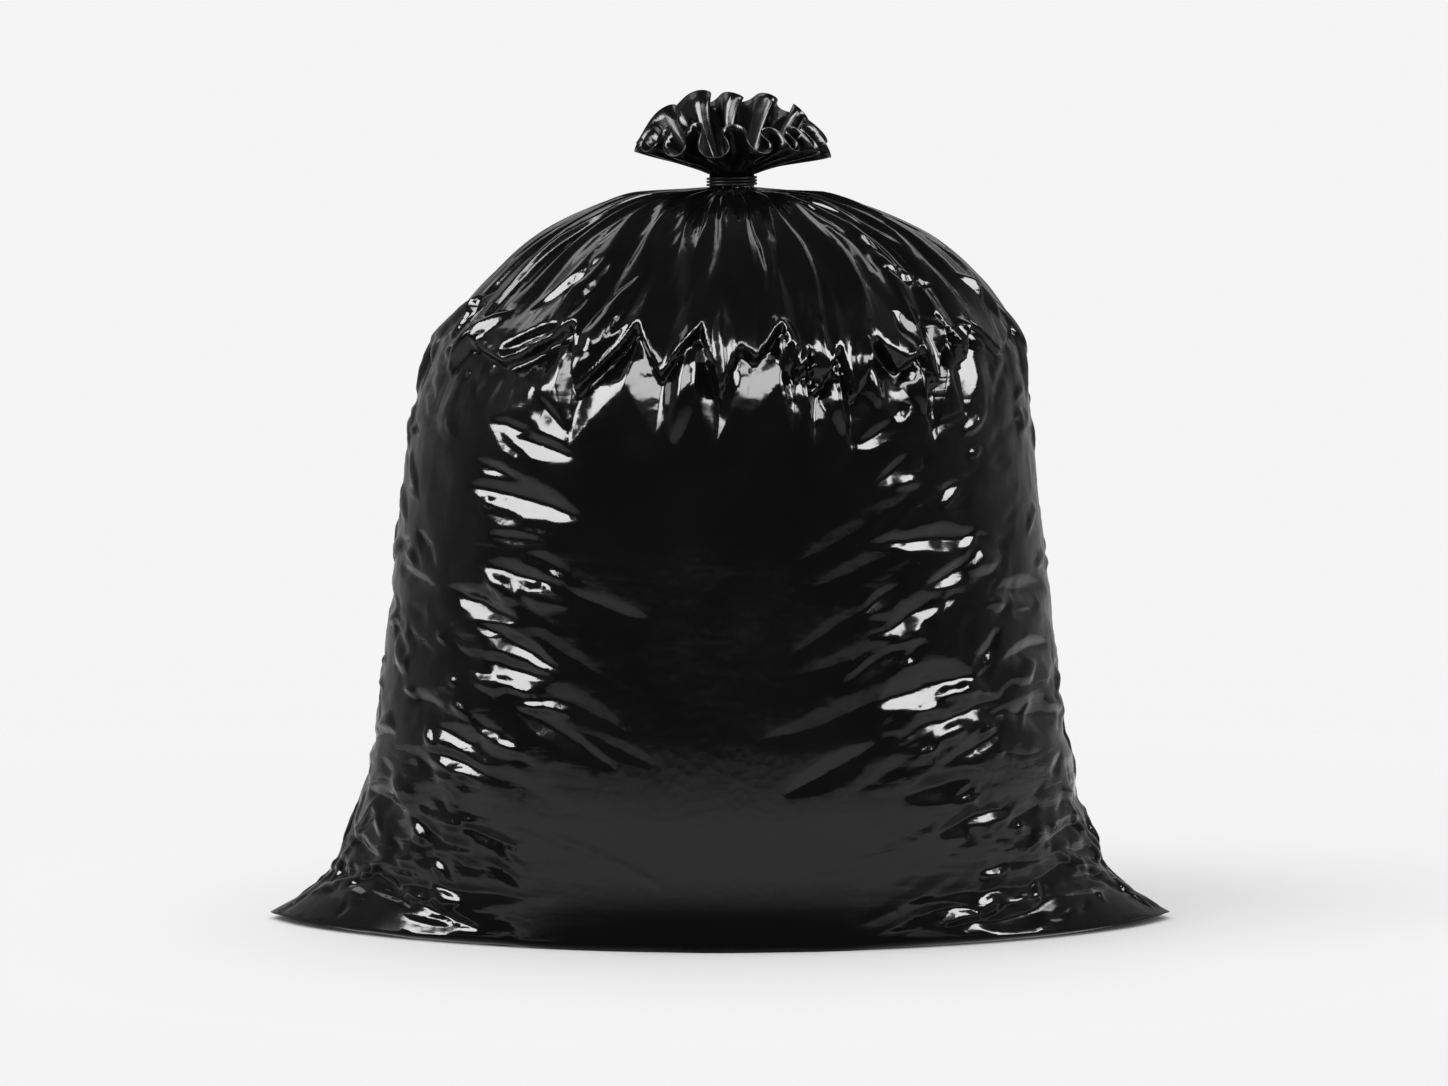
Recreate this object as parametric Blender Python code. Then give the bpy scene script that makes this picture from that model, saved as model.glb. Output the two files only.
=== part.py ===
"""A full black bin bag, its mouth gathered and tied with a wound elastic band.

Metres, +Z up. The front faces -Y, and the origin is the middle of the footprint on the floor.
"""

import math

import bmesh
import bpy
import numpy as np

# The filled body
CORNER_SPAN = 0.700
BODY_WIDTH = 0.526
BODY_DEPTH = 0.404
BODY_HEIGHT = 0.567
CORNER_LIFT = 0.005
CORNER_RISE = 0.035
CORNER_UNDERCUT = 0.028
NECK_SHIFT = 0.009
NECK_LEAN_FROM = 0.65
NECK_LEAN_TO = 0.85
CORNER_POINT = 0.6
CORNER_POINT_FROM = 0.02
CORNER_POINT_TO = 0.28

# The tied neck and its elastic band
NECK_RADIUS = 0.0173
NECK_PLEAT_DEPTH = 0.0006
BAND_THICKNESS = 0.0021
BAND_TURNS = 3
BAND_GAP = 0.0003
BAND_FILM_GAP = 0.0004
BAND_END_GAP = 0.0009
BAND_CROSSING_ANGLE = math.radians(100)
BAND_POINTS_PER_TURN = 40
BAND_CROSSING_POINTS = 14
BAND_CROSSING_LIFT = 0.25
BAND_CROSSING_DROP = 0.22

# The frill above the band
FRILL_LENGTH_SIDE = 0.058
FRILL_LENGTH_FRONT = 0.053
FRILL_LENGTH_BACK = 0.069
FRILL_SPLAY_SIDE = math.radians(63)
FRILL_SPLAY_FRONT = math.radians(60)
FRILL_SPLAY_BACK = math.radians(27)
FRILL_LOBES = 14
FRILL_LOBE_DEPTH = 0.0115
FRILL_LOBE_CURL = 1.5
FRILL_LOBE_TURN = 0.30
FRILL_LOBE_WANDER = 0.8
FRILL_LOBE_VARIES = 0.25
FRILL_RIM_VARIES = 0.07
FRILL_RIM_SWAYS = 0.05
FRILL_WALL = 0.0012
FRILL_PIT_RADIUS = 0.008
FRILL_PIT_FLOOR = 0.003

# Gathers and folds of the film
PLEATS = 28
PLEAT_WANDER = 0.9
PLEAT_DEPTH = 0.0030
PLEATS_FROM = 0.80
PLEATS_FULL = 0.92
PLATE_LIFT = 0.0040
PLATE_RISE = 0.075
PLATE_DRAWN_IN = 0.0045
PLATE_DRAWN_LENGTH = 0.050
PLATE_RAMP = 0.024
SIDE_FOLD_DEPTH = 0.0045
SIDE_FOLD_SPACING = 0.066
SIDE_FOLD_SLANT = 0.9
SIDE_FOLD_WAVE = 1.5
SIDE_FOLDS_LOW = (0.06, 0.16)
SIDE_FOLDS_HIGH = (0.80, 0.66)

# Uneven spacing round the bag: how many waves, how strong, and where they start
WANDER = ((2.0, 1.0, 0.7), (3.0, 0.6, 2.1), (5.0, 0.4, 4.0))

# Lower edge of the shoulder's plates on the front: degrees to the right, and height as a share of BODY_HEIGHT
PLATE_EDGE = (
    (-65, 0.760),
    (-60, 0.800),
    (-47, 0.775),
    (-33, 0.830),
    (-28, 0.740),
    (-19, 0.830),
    (-12, 0.760),
    (-6, 0.830),
    (-1, 0.740),
    (2, 0.800),
    (5, 0.785),
    (10, 0.830),
    (13, 0.760),
    (15, 0.795),
    (17, 0.740),
    (21, 0.800),
    (24, 0.730),
    (29, 0.810),
    (34, 0.770),
    (39, 0.795),
    (42, 0.740),
    (46, 0.840),
    (50, 0.775),
    (55, 0.830),
    (64, 0.785),
)
TEETH_BEHIND = 18
TEETH_MIDDLE = 0.785
TEETH_DEPTH = 0.032
TEETH_UNEVEN = 0.012
TEETH_UNEVEN_TURN = 2.3
TEETH_SHIFT = 0.25
TEETH_SHIFT_TURN = 5.0

# Pointed tongues that stand out below the plates: X and height of the top, X and height of the tip, as shares
# of BODY_WIDTH and BODY_HEIGHT, then the width to the left and to the right and how far the middle stands out
TONGUES = (
    (-0.320, 0.865, -0.430, 0.775, 0.008, 0.007, 0.0050),
    (-0.295, 0.845, -0.390, 0.760, 0.009, 0.008, 0.0065),
    (-0.105, 0.900, -0.210, 0.730, 0.008, 0.008, 0.0050),
    (-0.040, 0.830, -0.065, 0.670, 0.010, 0.010, 0.0085),
    (0.000, 0.865, 0.005, 0.705, 0.006, 0.007, 0.0065),
    (0.075, 0.840, 0.105, 0.760, 0.007, 0.010, 0.0060),
    (0.110, 0.800, 0.127, 0.705, 0.008, 0.007, 0.0065),
    (0.133, 0.840, 0.147, 0.745, 0.005, 0.005, 0.0050),
    (0.152, 0.800, 0.175, 0.680, 0.008, 0.007, 0.0075),
    (0.198, 0.815, 0.225, 0.715, 0.011, 0.008, 0.0075),
    (0.265, 0.795, 0.290, 0.705, 0.008, 0.007, 0.0065),
    (0.285, 0.840, 0.338, 0.760, 0.008, 0.010, 0.0070),
    (0.333, 0.830, 0.386, 0.787, 0.006, 0.007, 0.0050),
    (0.338, 0.890, 0.412, 0.820, 0.006, 0.007, 0.0050),
)

FRONT_COLUMNS = 76
BACK_COLUMNS = 44
COLUMNS = FRONT_COLUMNS + BACK_COLUMNS
OUTLINE_POINTS = 600

# Height, half width and half depth of the body, as shares of BODY_HEIGHT, BODY_WIDTH and BODY_DEPTH
BODY_OUTLINE = (
    (0.000, 0.605, 0.440),
    (0.056, 0.580, 0.475),
    (0.111, 0.553, 0.485),
    (0.166, 0.531, 0.492),
    (0.247, 0.511, 0.495),
    (0.353, 0.495, 0.493),
    (0.466, 0.480, 0.495),
    (0.575, 0.467, 0.500),
    (0.684, 0.453, 0.498),
    (0.739, 0.442, 0.490),
    (0.794, 0.424, 0.470),
    (0.848, 0.392, 0.433),
    (0.903, 0.338, 0.372),
    (0.944, 0.279, 0.307),
    (0.973, 0.205, 0.228),
    (0.989, 0.137, 0.154),
    (0.995, 0.080, 0.095),
)

# Rows of the mesh: those of the corners are shares of CORNER_RISE above CORNER_LIFT
CORNER_ROWS = (0.00, 0.12, 0.30, 0.60, 1.00)
# Rows above the corners: up to what share of BODY_HEIGHT, and how many
BODY_BANDS = ((0.70, 11), (0.86, 12), (1.00, 7))
NECK_ROWS = 2
FRILL_ROWS = 5

TINY = 1e-5

# Colour and roughness
FILM_LOOK = ((0.004, 0.004, 0.0042), 0.18)
ELASTIC_LOOK = ((0.018, 0.018, 0.018), 0.42)


def smoothstep(low, high, value):
    """0 below low, 1 above high, and a smooth rise between them."""
    share = np.clip((value - low) / (high - low), 0.0, 1.0)
    return share * share * (3.0 - 2.0 * share)


def smooth_through(stations, count):
    """Evenly spaced points along one smooth curve through the stations."""
    points = np.array(stations)
    steps = np.linalg.norm(np.diff(points, axis=0), axis=1)
    along = np.concatenate([[0.0], np.cumsum(steps)])
    slopes = np.gradient(points, along, axis=0)
    wanted = np.linspace(0.0, along[-1], count)
    left = np.clip(np.searchsorted(along, wanted, side="right") - 1, 0, len(steps) - 1)
    step = (along[left + 1] - along[left])[:, None]
    t = (wanted[:, None] - along[left][:, None]) / step
    rise = t * t * (3.0 - 2.0 * t)
    return (
        points[left] * (1.0 - rise)
        + points[left + 1] * rise
        + slopes[left] * step * t * (1.0 - t) ** 2
        - slopes[left + 1] * step * t * t * (1.0 - t)
    )


def wavy(angle, count, wander):
    """The phase of count folds round the bag, unevenly spaced."""
    drift = sum(strength * np.sin(waves * angle + start) for waves, strength, start in WANDER)
    return count * angle + wander * drift


def crease(phase):
    """A fold's height from -1 to 1, with a sharp valley at phase 0 and a rounded crest."""
    return 2.0 * np.abs(np.sin(phase / 2.0)) - 1.0


def around():
    """The angle of each column, from +X round the back and then, in closer columns, round the front."""
    back = np.linspace(0.0, math.pi, BACK_COLUMNS, endpoint=False)
    front = np.linspace(math.pi, 2.0 * math.pi, FRONT_COLUMNS, endpoint=False)
    return np.concatenate([back, front])[None, :]


def body_rows():
    """Height, half width and half depth of each row from the footprint to the neck."""
    scale = (BODY_HEIGHT, BODY_WIDTH, BODY_DEPTH)
    stations = [[size * share for size, share in zip(scale, station)] for station in BODY_OUTLINE]
    stations.append([BODY_HEIGHT, NECK_RADIUS, NECK_RADIUS])
    curve = smooth_through(stations, OUTLINE_POINTS)
    along = np.linspace(0.0, 1.0, len(curve))
    low = [0.0] + [CORNER_LIFT + CORNER_RISE * share for share in CORNER_ROWS]
    shares = [np.interp(low, curve[:, 0], along)]
    for top, count in BODY_BANDS:
        until = np.interp(top * BODY_HEIGHT, curve[:, 0], along)
        shares.append(np.linspace(shares[-1][-1], until, count + 1)[1:])
    shares = np.concatenate(shares)
    return np.stack([np.interp(shares, along, column) for column in curve.T], axis=1)


def body_film():
    """The body's smooth film as rows of points, without its folds."""
    angle = around()
    height, half_width, half_depth = (column[:, None] for column in body_rows().T)
    left_of_rise = np.clip(1.0 - (height - CORNER_LIFT) / CORNER_RISE, 0.0, 1.0)
    tip_row = int(np.argmin(np.abs(height - CORNER_LIFT)))
    reach = CORNER_SPAN / 2.0 - half_width[tip_row]
    under = CORNER_UNDERCUT * np.clip(1.0 - height / CORNER_LIFT, 0.0, 1.0)
    half_width = half_width + reach * left_of_rise**1.5 - under
    pointed = 1.0 + CORNER_POINT * smoothstep(CORNER_POINT_TO, CORNER_POINT_FROM, height / BODY_HEIGHT)
    shift = NECK_SHIFT * smoothstep(NECK_LEAN_FROM, NECK_LEAN_TO, height / BODY_HEIGHT)
    x = shift + half_width * np.cos(angle)
    y = half_depth * np.sign(np.sin(angle)) * np.abs(np.sin(angle)) ** pointed
    return np.stack([x, y, height + 0.0 * angle], axis=-1)


def plate_edge(angle):
    """The height of the plates' zig-zag lower edge at each angle, as a share of BODY_HEIGHT."""
    teeth = list(PLATE_EDGE)
    first, last = PLATE_EDGE[0][0], PLATE_EDGE[-1][0]
    gap = (360.0 + first - last) / (TEETH_BEHIND + 1)
    for number in range(TEETH_BEHIND):
        turn = last + gap * (number + 1 + TEETH_SHIFT * math.sin(TEETH_SHIFT_TURN * number))
        side = 1.0 if number % 2 == 0 else -1.0
        uneven = TEETH_UNEVEN * math.sin(TEETH_UNEVEN_TURN * number)
        teeth.append((turn, TEETH_MIDDLE + side * TEETH_DEPTH + uneven))
    return np.interp(np.degrees(angle) + 90.0, *np.array(teeth).T, period=360.0)


def plate_heights(film, angle):
    """The plates stand out along their zig-zag edge, and a ramp leads down from it to drawn-in film."""
    above = film[:, :, 2] - BODY_HEIGHT * plate_edge(angle)
    lift = PLATE_LIFT * np.clip(1.0 - above / PLATE_RISE, 0.0, 1.0)
    drawn = PLATE_DRAWN_IN * np.clip(1.0 + above / PLATE_DRAWN_LENGTH, 0.0, 1.0)
    plate = np.clip(1.0 + above / PLATE_RAMP, 0.0, 1.0)
    return lift * plate - drawn * (1.0 - plate)


def tongue_heights(film):
    """How far the pointed tongues on the front stand out."""
    scale = np.array([BODY_WIDTH, BODY_HEIGHT])
    place = film[:, :, (0, 2)]
    stands = np.zeros(film.shape[:2])
    for x0, z0, x1, z1, left, right, depth in TONGUES:
        top = scale * (x0, z0)
        tip = scale * (x1, z1)
        length = np.linalg.norm(tip - top)
        way = (tip - top) / length
        offset = place - (top + tip) / 2.0
        along = 2.0 * (offset @ way) / length
        aside = offset @ np.array([-way[1], way[0]])
        wide = np.clip(1.0 - along**2, 0.0, 1.0)
        span = np.where(aside > 0.0, right, left) * np.maximum(wide, TINY)
        stands = np.maximum(stands, depth * wide * np.clip(1.0 - np.abs(aside) / span, 0.0, 1.0))
    return stands * (film[:, :, 1] < 0.0)


def fold_heights(film):
    """How far the folds lift each point of the body off its smooth film."""
    angle = around()
    height = film[:, :, 2] / BODY_HEIGHT
    out = np.hypot(film[:, :, 0] - NECK_SHIFT, film[:, :, 1])
    spread = smoothstep(NECK_RADIUS, 5.0 * NECK_RADIUS, out)
    pleats = PLEAT_DEPTH * crease(wavy(angle, PLEATS, PLEAT_WANDER))
    pleats = pleats * spread * smoothstep(PLEATS_FROM, PLEATS_FULL, height)
    side = np.abs(np.cos(angle)) ** 1.4
    slanted = film[:, :, 2] + SIDE_FOLD_SLANT * np.abs(film[:, :, 1])
    waved = SIDE_FOLD_WAVE * np.sin(2.0 * angle + 1.0)
    folds = SIDE_FOLD_DEPTH * crease(2.0 * math.pi * slanted / SIDE_FOLD_SPACING + waved)
    folds = folds * side * smoothstep(*SIDE_FOLDS_LOW, height) * smoothstep(*SIDE_FOLDS_HIGH, height)
    return pleats + plate_heights(film, angle) + tongue_heights(film) + folds


def outward(film):
    """Unit normals of rows of points that run upwards, facing away from the bag's inside."""
    across = np.roll(film, -1, axis=1) - np.roll(film, 1, axis=1)
    along = np.gradient(film, axis=0)
    normal = np.cross(across, along)
    return normal / np.linalg.norm(normal, axis=-1, keepdims=True)


def folded_body():
    """The body with its folds, moved so that it reaches as far forwards as backwards."""
    body = body_film()
    body = body + outward(body) * fold_heights(body)[:, :, None]
    middle = (body[:, :, 1].max() + body[:, :, 1].min()) / 2.0
    body[:, :, 1] -= middle * smoothstep(NECK_LEAN_TO, NECK_LEAN_FROM, body[:, :, 2] / BODY_HEIGHT)
    return body


def neck_film():
    """The gathered film inside the band."""
    angle = around()
    height = BODY_HEIGHT + np.linspace(0.0, neck_length(), NECK_ROWS + 1)[1:, None]
    radius = NECK_RADIUS - NECK_PLEAT_DEPTH * (1.0 - crease(wavy(angle, PLEATS, PLEAT_WANDER))) / 2.0
    radius = radius + 0.0 * height
    return np.stack(
        [NECK_SHIFT + radius * np.cos(angle), radius * np.sin(angle), height + 0.0 * angle],
        axis=-1,
    )


def band_pitch():
    """From one turn's middle to the next."""
    return BAND_THICKNESS + BAND_GAP


def band_height():
    """From the underside of the lowest turn to the top of the highest."""
    return band_pitch() * (BAND_TURNS - BAND_CROSSING_ANGLE / (2.0 * math.pi)) + BAND_THICKNESS


def neck_length():
    """From the shoulder's top to where the frill starts."""
    return band_height() + 2.0 * BAND_END_GAP


def frill_film(rise):
    """The middle of the frill's film, as rows of points at the shares rise of its length."""
    angle = around()
    rise = np.asarray(rise)[:, None]
    back = np.maximum(np.sin(angle), 0.0) ** 2
    front = np.maximum(-np.sin(angle), 0.0) ** 2
    side = 1.0 - back - front
    splay = side * FRILL_SPLAY_SIDE + front * FRILL_SPLAY_FRONT + back * FRILL_SPLAY_BACK
    length = side * FRILL_LENGTH_SIDE + front * FRILL_LENGTH_FRONT + back * FRILL_LENGTH_BACK
    phase = wavy(angle, FRILL_LOBES, FRILL_LOBE_WANDER)
    uneven = FRILL_RIM_VARIES * np.cos(phase + 0.8) + FRILL_RIM_SWAYS * np.sin(4.0 * angle + 0.5)
    length = length * (1.0 + uneven)
    lobe_depth = FRILL_LOBE_DEPTH * (1.0 + FRILL_LOBE_VARIES * np.sin(3.0 * angle + 1.0))
    lobe = lobe_depth * np.cos(phase) * rise**FRILL_LOBE_CURL
    radius = NECK_RADIUS + length * rise * np.sin(splay) + lobe * np.cos(splay)
    height = BODY_HEIGHT + neck_length() + length * rise * np.cos(splay) - lobe * np.sin(splay)
    turned = angle + FRILL_LOBE_TURN * rise * np.sin(2.0 * phase) / FRILL_LOBES
    return np.stack(
        [NECK_SHIFT + radius * np.cos(turned), radius * np.sin(turned), height],
        axis=-1,
    )


def bag_rows():
    """Every ring of the bag, from the footprint up its outside, over the mouth and down inside the frill."""
    body = folded_body()
    neck = neck_film()
    rise = np.linspace(0.0, 1.0, FRILL_ROWS + 1)
    frill = frill_film(rise)
    wall = outward(frill) * FRILL_WALL / 2.0
    outer = (frill + wall)[1:]
    inner = (frill - wall)[:0:-1]
    axis = np.array([NECK_SHIFT, 0.0])
    around = inner[-1][:, :2] - axis
    pit = np.zeros_like(inner[-1])
    pit[:, :2] = axis + around * FRILL_PIT_RADIUS / np.linalg.norm(around, axis=1).mean()
    pit[:, 2] = BODY_HEIGHT + neck_length() + FRILL_PIT_FLOOR
    return np.concatenate([body, neck, outer, inner, pit[None]])


def material(name, colour, roughness):
    made = bpy.data.materials.new(name)
    made.use_nodes = True
    shader = made.node_tree.nodes["Principled BSDF"]
    shader.inputs["Base Color"].default_value = (*colour, 1.0)
    shader.inputs["Roughness"].default_value = roughness
    shader.inputs["Metallic"].default_value = 0.0
    return made


def make_bag():
    """The bag is one piece of film round its contents, so it is one closed solid."""
    mesh = bpy.data.meshes.new("bin_bag")
    form = bmesh.new()
    rings = [[form.verts.new(point) for point in row] for row in bag_rows()]
    for lower, upper in zip(rings, rings[1:]):
        for i in range(COLUMNS):
            after = (i + 1) % COLUMNS
            form.faces.new((lower[i], lower[after], upper[after], upper[i]))
    form.faces.new(reversed(rings[0]))
    form.faces.new(rings[-1])
    bmesh.ops.recalc_face_normals(form, faces=form.faces)
    form.to_mesh(mesh)
    form.free()
    mesh.shade_smooth()
    mesh.materials.append(material("black film", *FILM_LOOK))
    bag = bpy.data.objects.new("bin_bag", mesh)
    bpy.context.scene.collection.objects.link(bag)
    return bag


def band_path():
    """The wound elastic band's middle line: it climbs its turns and crosses back over them at the rear."""
    radius = NECK_RADIUS + BAND_FILM_GAP + BAND_THICKNESS / 2.0
    bottom = BODY_HEIGHT + BAND_END_GAP + BAND_THICKNESS / 2.0
    winding = 2.0 * math.pi * BAND_TURNS - BAND_CROSSING_ANGLE
    start = math.pi / 2.0 + BAND_CROSSING_ANGLE / 2.0
    top = winding / (2.0 * math.pi) * band_pitch()
    points = []
    steps = BAND_POINTS_PER_TURN * BAND_TURNS
    for step in range(steps):
        share = step / steps
        turned = share * winding
        points.append((start + turned, radius, bottom + share * top))
    for step in range(BAND_CROSSING_POINTS):
        share = step / BAND_CROSSING_POINTS
        lift = smoothstep(0.0, BAND_CROSSING_LIFT, share) * smoothstep(1.0, 1.0 - BAND_CROSSING_LIFT, share)
        drop = smoothstep(BAND_CROSSING_DROP, 1.0 - BAND_CROSSING_DROP, share)
        angle = start + winding + share * BAND_CROSSING_ANGLE
        points.append((angle, radius + lift * band_pitch(), bottom + top * (1.0 - drop)))
    return [
        (NECK_SHIFT + out * math.cos(angle), out * math.sin(angle), height)
        for angle, out, height in points
    ]


def make_band():
    """One closed loop of elastic, wound round the neck."""
    curve = bpy.data.curves.new("neck_band", "CURVE")
    curve.dimensions = "3D"
    curve.bevel_depth = BAND_THICKNESS / 2.0
    curve.bevel_resolution = 2
    spline = curve.splines.new("POLY")
    path = band_path()
    spline.points.add(len(path) - 1)
    for point, place in zip(spline.points, path):
        point.co = (*place, 1.0)
    spline.use_cyclic_u = True
    curve.materials.append(material("black elastic", *ELASTIC_LOOK))
    band = bpy.data.objects.new("neck_band", curve)
    bpy.context.scene.collection.objects.link(band)
    return band


for old in list(bpy.data.objects):
    bpy.data.objects.remove(old)
make_bag()
make_band()
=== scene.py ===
"""A full black bin bag, tied with wound elastic, on a pale studio floor.

Laid out as a Blender add-on and run as a script. Metres, +Z up, the front faces -Y.
"""

import math

import bpy
import numpy as np
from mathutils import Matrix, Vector


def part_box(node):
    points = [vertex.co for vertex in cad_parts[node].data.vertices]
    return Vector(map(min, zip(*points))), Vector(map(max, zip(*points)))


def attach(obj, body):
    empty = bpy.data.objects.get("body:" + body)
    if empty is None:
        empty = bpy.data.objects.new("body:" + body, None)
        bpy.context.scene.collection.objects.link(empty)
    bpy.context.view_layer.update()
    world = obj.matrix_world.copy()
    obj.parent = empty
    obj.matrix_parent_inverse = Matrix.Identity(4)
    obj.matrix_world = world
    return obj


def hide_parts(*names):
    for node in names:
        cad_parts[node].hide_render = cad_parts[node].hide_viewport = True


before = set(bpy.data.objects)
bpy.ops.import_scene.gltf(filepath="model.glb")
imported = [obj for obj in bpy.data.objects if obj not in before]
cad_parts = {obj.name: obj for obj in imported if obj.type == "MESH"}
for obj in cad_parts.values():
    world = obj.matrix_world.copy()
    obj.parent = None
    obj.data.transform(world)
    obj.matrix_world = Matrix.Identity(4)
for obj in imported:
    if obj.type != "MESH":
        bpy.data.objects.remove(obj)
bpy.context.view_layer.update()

bl_info = {
    "name": "Full bin bag",
    "version": (1, 0, 0),
    "blender": (4, 5, 0),
    "location": "View3D > Sidebar > Bin Bag",
    "description": "Builds a full, tied bin bag and its studio",
    "category": "Object",
}

BAG_LOW, BAG_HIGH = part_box("bin_bag")
BAND_LOW, BAND_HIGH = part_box("neck_band")

# The filled body, as in the part's own frame
CORNER_SPAN = BAG_HIGH[0] - BAG_LOW[0]
BODY_WIDTH = 0.526
BODY_DEPTH = 0.404
BODY_HEIGHT = 0.567
CORNER_LIFT = 0.005
CORNER_RISE = 0.035
CORNER_UNDERCUT = 0.028
CORNER_PINCH = 0.45
CORNER_PINCH_FADE = (0.02, 0.28)
NECK_SHIFT = (BAND_LOW[0] + BAND_HIGH[0]) / 2.0
NECK_RADIUS = 0.0173
NECK_LENGTH = 0.0105
NECK_PLEAT_DEPTH = 0.0006

# Height, half width and half depth of the body, as shares of BODY_HEIGHT, BODY_WIDTH and BODY_DEPTH
BODY_OUTLINE = (
    (0.000, 0.605, 0.455),
    (0.056, 0.580, 0.475),
    (0.111, 0.553, 0.485),
    (0.166, 0.531, 0.492),
    (0.247, 0.511, 0.495),
    (0.353, 0.495, 0.493),
    (0.466, 0.480, 0.495),
    (0.575, 0.467, 0.500),
    (0.684, 0.453, 0.498),
    (0.739, 0.442, 0.490),
    (0.794, 0.424, 0.470),
    (0.848, 0.392, 0.433),
    (0.903, 0.338, 0.372),
    (0.944, 0.279, 0.307),
    (0.973, 0.205, 0.228),
    (0.989, 0.137, 0.154),
    (0.995, 0.080, 0.095),
)
OUTLINE_POINTS = 2000

# Lower edge of the shoulder's plates on the front: degrees to the right, and height as a share of BODY_HEIGHT
PLATE_EDGE = (
    (-65, 0.760),
    (-60, 0.800),
    (-47, 0.775),
    (-33, 0.830),
    (-28, 0.740),
    (-19, 0.830),
    (-12, 0.760),
    (-6, 0.830),
    (-1, 0.740),
    (2, 0.800),
    (5, 0.785),
    (10, 0.830),
    (13, 0.760),
    (15, 0.795),
    (17, 0.740),
    (21, 0.800),
    (24, 0.730),
    (29, 0.810),
    (34, 0.770),
    (39, 0.795),
    (42, 0.740),
    (46, 0.840),
    (50, 0.775),
    (55, 0.830),
    (64, 0.785),
)
TEETH_BEHIND = 18
TEETH_MIDDLE = 0.785
TEETH_DEPTH = 0.032
TEETH_UNEVEN = 0.012
TEETH_UNEVEN_TURN = 2.3
TEETH_SHIFT = 0.25
TEETH_SHIFT_TURN = 5.0
PLATE_LIFT = 0.0055
PLATE_RISE = 0.050
PLATE_DRAWN_IN = 0.0070
PLATE_RAMP = 0.044
PLATE_EDGE_WIDTH = 0.006
PLATE_FADE = 0.85
PLATE_FADE_BEHIND = 0.55
PLATE_EDGE_WOBBLE = 0.0035
RAMP_CRUMPLE = 0.0008
SHOULDER_SLIM = 0.0045
SHOULDER_SHIFT = 0.004
NECK_SHIFT_RISE = (0.65, 0.85)
SHOULDER_SHIFT_RISE = (0.80, 0.90)
SHOULDER_SHIFT_FADE = (1.0, 0.93)
SHOULDER_SLIM_RISE = (0.78, 0.86)
SHOULDER_SLIM_FADE = (1.0, 0.95)

# Pointed tongues that stand out below the plates: X and height of the top, X and height of the tip, as shares
# of BODY_WIDTH and BODY_HEIGHT, then the width to the left and to the right and how far the middle stands out
TONGUES = (
    (-0.320, 0.865, -0.430, 0.775, 0.008, 0.007, 0.0050),
    (-0.295, 0.845, -0.390, 0.760, 0.009, 0.008, 0.0065),
    (-0.105, 0.900, -0.210, 0.730, 0.008, 0.008, 0.0050),
    (-0.040, 0.830, -0.065, 0.670, 0.010, 0.010, 0.0085),
    (0.000, 0.865, 0.005, 0.705, 0.006, 0.007, 0.0065),
    (0.075, 0.840, 0.105, 0.760, 0.007, 0.010, 0.0060),
    (0.110, 0.800, 0.127, 0.705, 0.008, 0.007, 0.0065),
    (0.133, 0.840, 0.147, 0.745, 0.005, 0.005, 0.0050),
    (0.152, 0.800, 0.175, 0.680, 0.008, 0.007, 0.0075),
    (0.198, 0.815, 0.225, 0.715, 0.011, 0.008, 0.0075),
    (0.265, 0.795, 0.290, 0.705, 0.008, 0.007, 0.0065),
    (0.285, 0.840, 0.338, 0.760, 0.008, 0.010, 0.0070),
    (0.333, 0.830, 0.386, 0.787, 0.006, 0.007, 0.0050),
    (0.338, 0.890, 0.412, 0.820, 0.006, 0.007, 0.0050),
)

# Creases pressed in on the front, in millimetres: X and Z of both ends, width above and below, and depth
CREASES = (
    (-165, 445, -115, 470, 5, 30, 8),
    (-105, 425, -65, 470, 5, 20, 6),
    (-150, 475, -85, 520, 7, 9, 5),
    (-115, 470, -80, 515, 5, 8, 4),
    (75, 545, 145, 510, 7, 10, 5),
    (120, 515, 165, 495, 5, 6, 4),
    (130, 480, 150, 445, 6, 8, 5),
    (45, 435, 95, 425, 5, 25, 7),
    (105, 455, 150, 430, 5, 25, 7),
    (-140, 420, -110, 385, 5, 14, 5),
    (-185, 365, -140, 350, 6, 7, 4),
    (-175, 395, -135, 385, 5, 8, 4),
    (-160, 385, -105, 370, 6, 10, 5),
    (-190, 345, -100, 325, 14, 12, 7),
    (-175, 310, -125, 305, 5, 9, 4),
    (-175, 290, -120, 275, 9, 9, 5),
    (-205, 270, -145, 245, 7, 9, 5),
    (-185, 245, -115, 210, 9, 11, 6),
    (-180, 220, -120, 205, 8, 14, 6),
    (-215, 165, -150, 145, 11, 10, 5),
    (-225, 145, -165, 125, 7, 6, 4),
    (-240, 185, -205, 175, 6, 6, 4),
    (-245, 280, -210, 265, 7, 7, 4),
    (-235, 95, -200, 70, 6, 7, 4),
    (-195, 90, -150, 75, 5, 6, 4),
    (-275, 55, -235, 30, 5, 8, 5),
    (-270, 35, -175, 10, 7, 5, 5),
    (-270, 105, -235, 95, 7, 6, 5),
    (-285, 75, -255, 55, 6, 6, 5),
    (-165, 190, -75, 135, 8, 9, 3),
    (-120, 275, -50, 250, 8, 9, 3),
    (105, 305, 205, 305, 10, 9, 5),
    (150, 270, 195, 295, 6, 8, 5),
    (110, 235, 185, 270, 13, 9, 6),
    (110, 185, 195, 205, 17, 12, 7),
    (155, 165, 220, 185, 7, 10, 5),
    (165, 140, 215, 165, 7, 9, 4),
    (135, 115, 200, 130, 11, 11, 5),
    (160, 85, 220, 100, 9, 10, 5),
    (190, 15, 260, 30, 9, 12, 5),
    (225, 35, 285, 60, 12, 9, 5),
    (245, 70, 280, 85, 8, 8, 5),
    (90, 200, 150, 235, 8, 8, 3),
    (200, 265, 250, 260, 12, 9, 5),
    (210, 210, 250, 220, 9, 8, 5),
    (210, 175, 260, 170, 14, 10, 5),
    (45, 120, 120, 160, 9, 10, 3),
)

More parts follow.
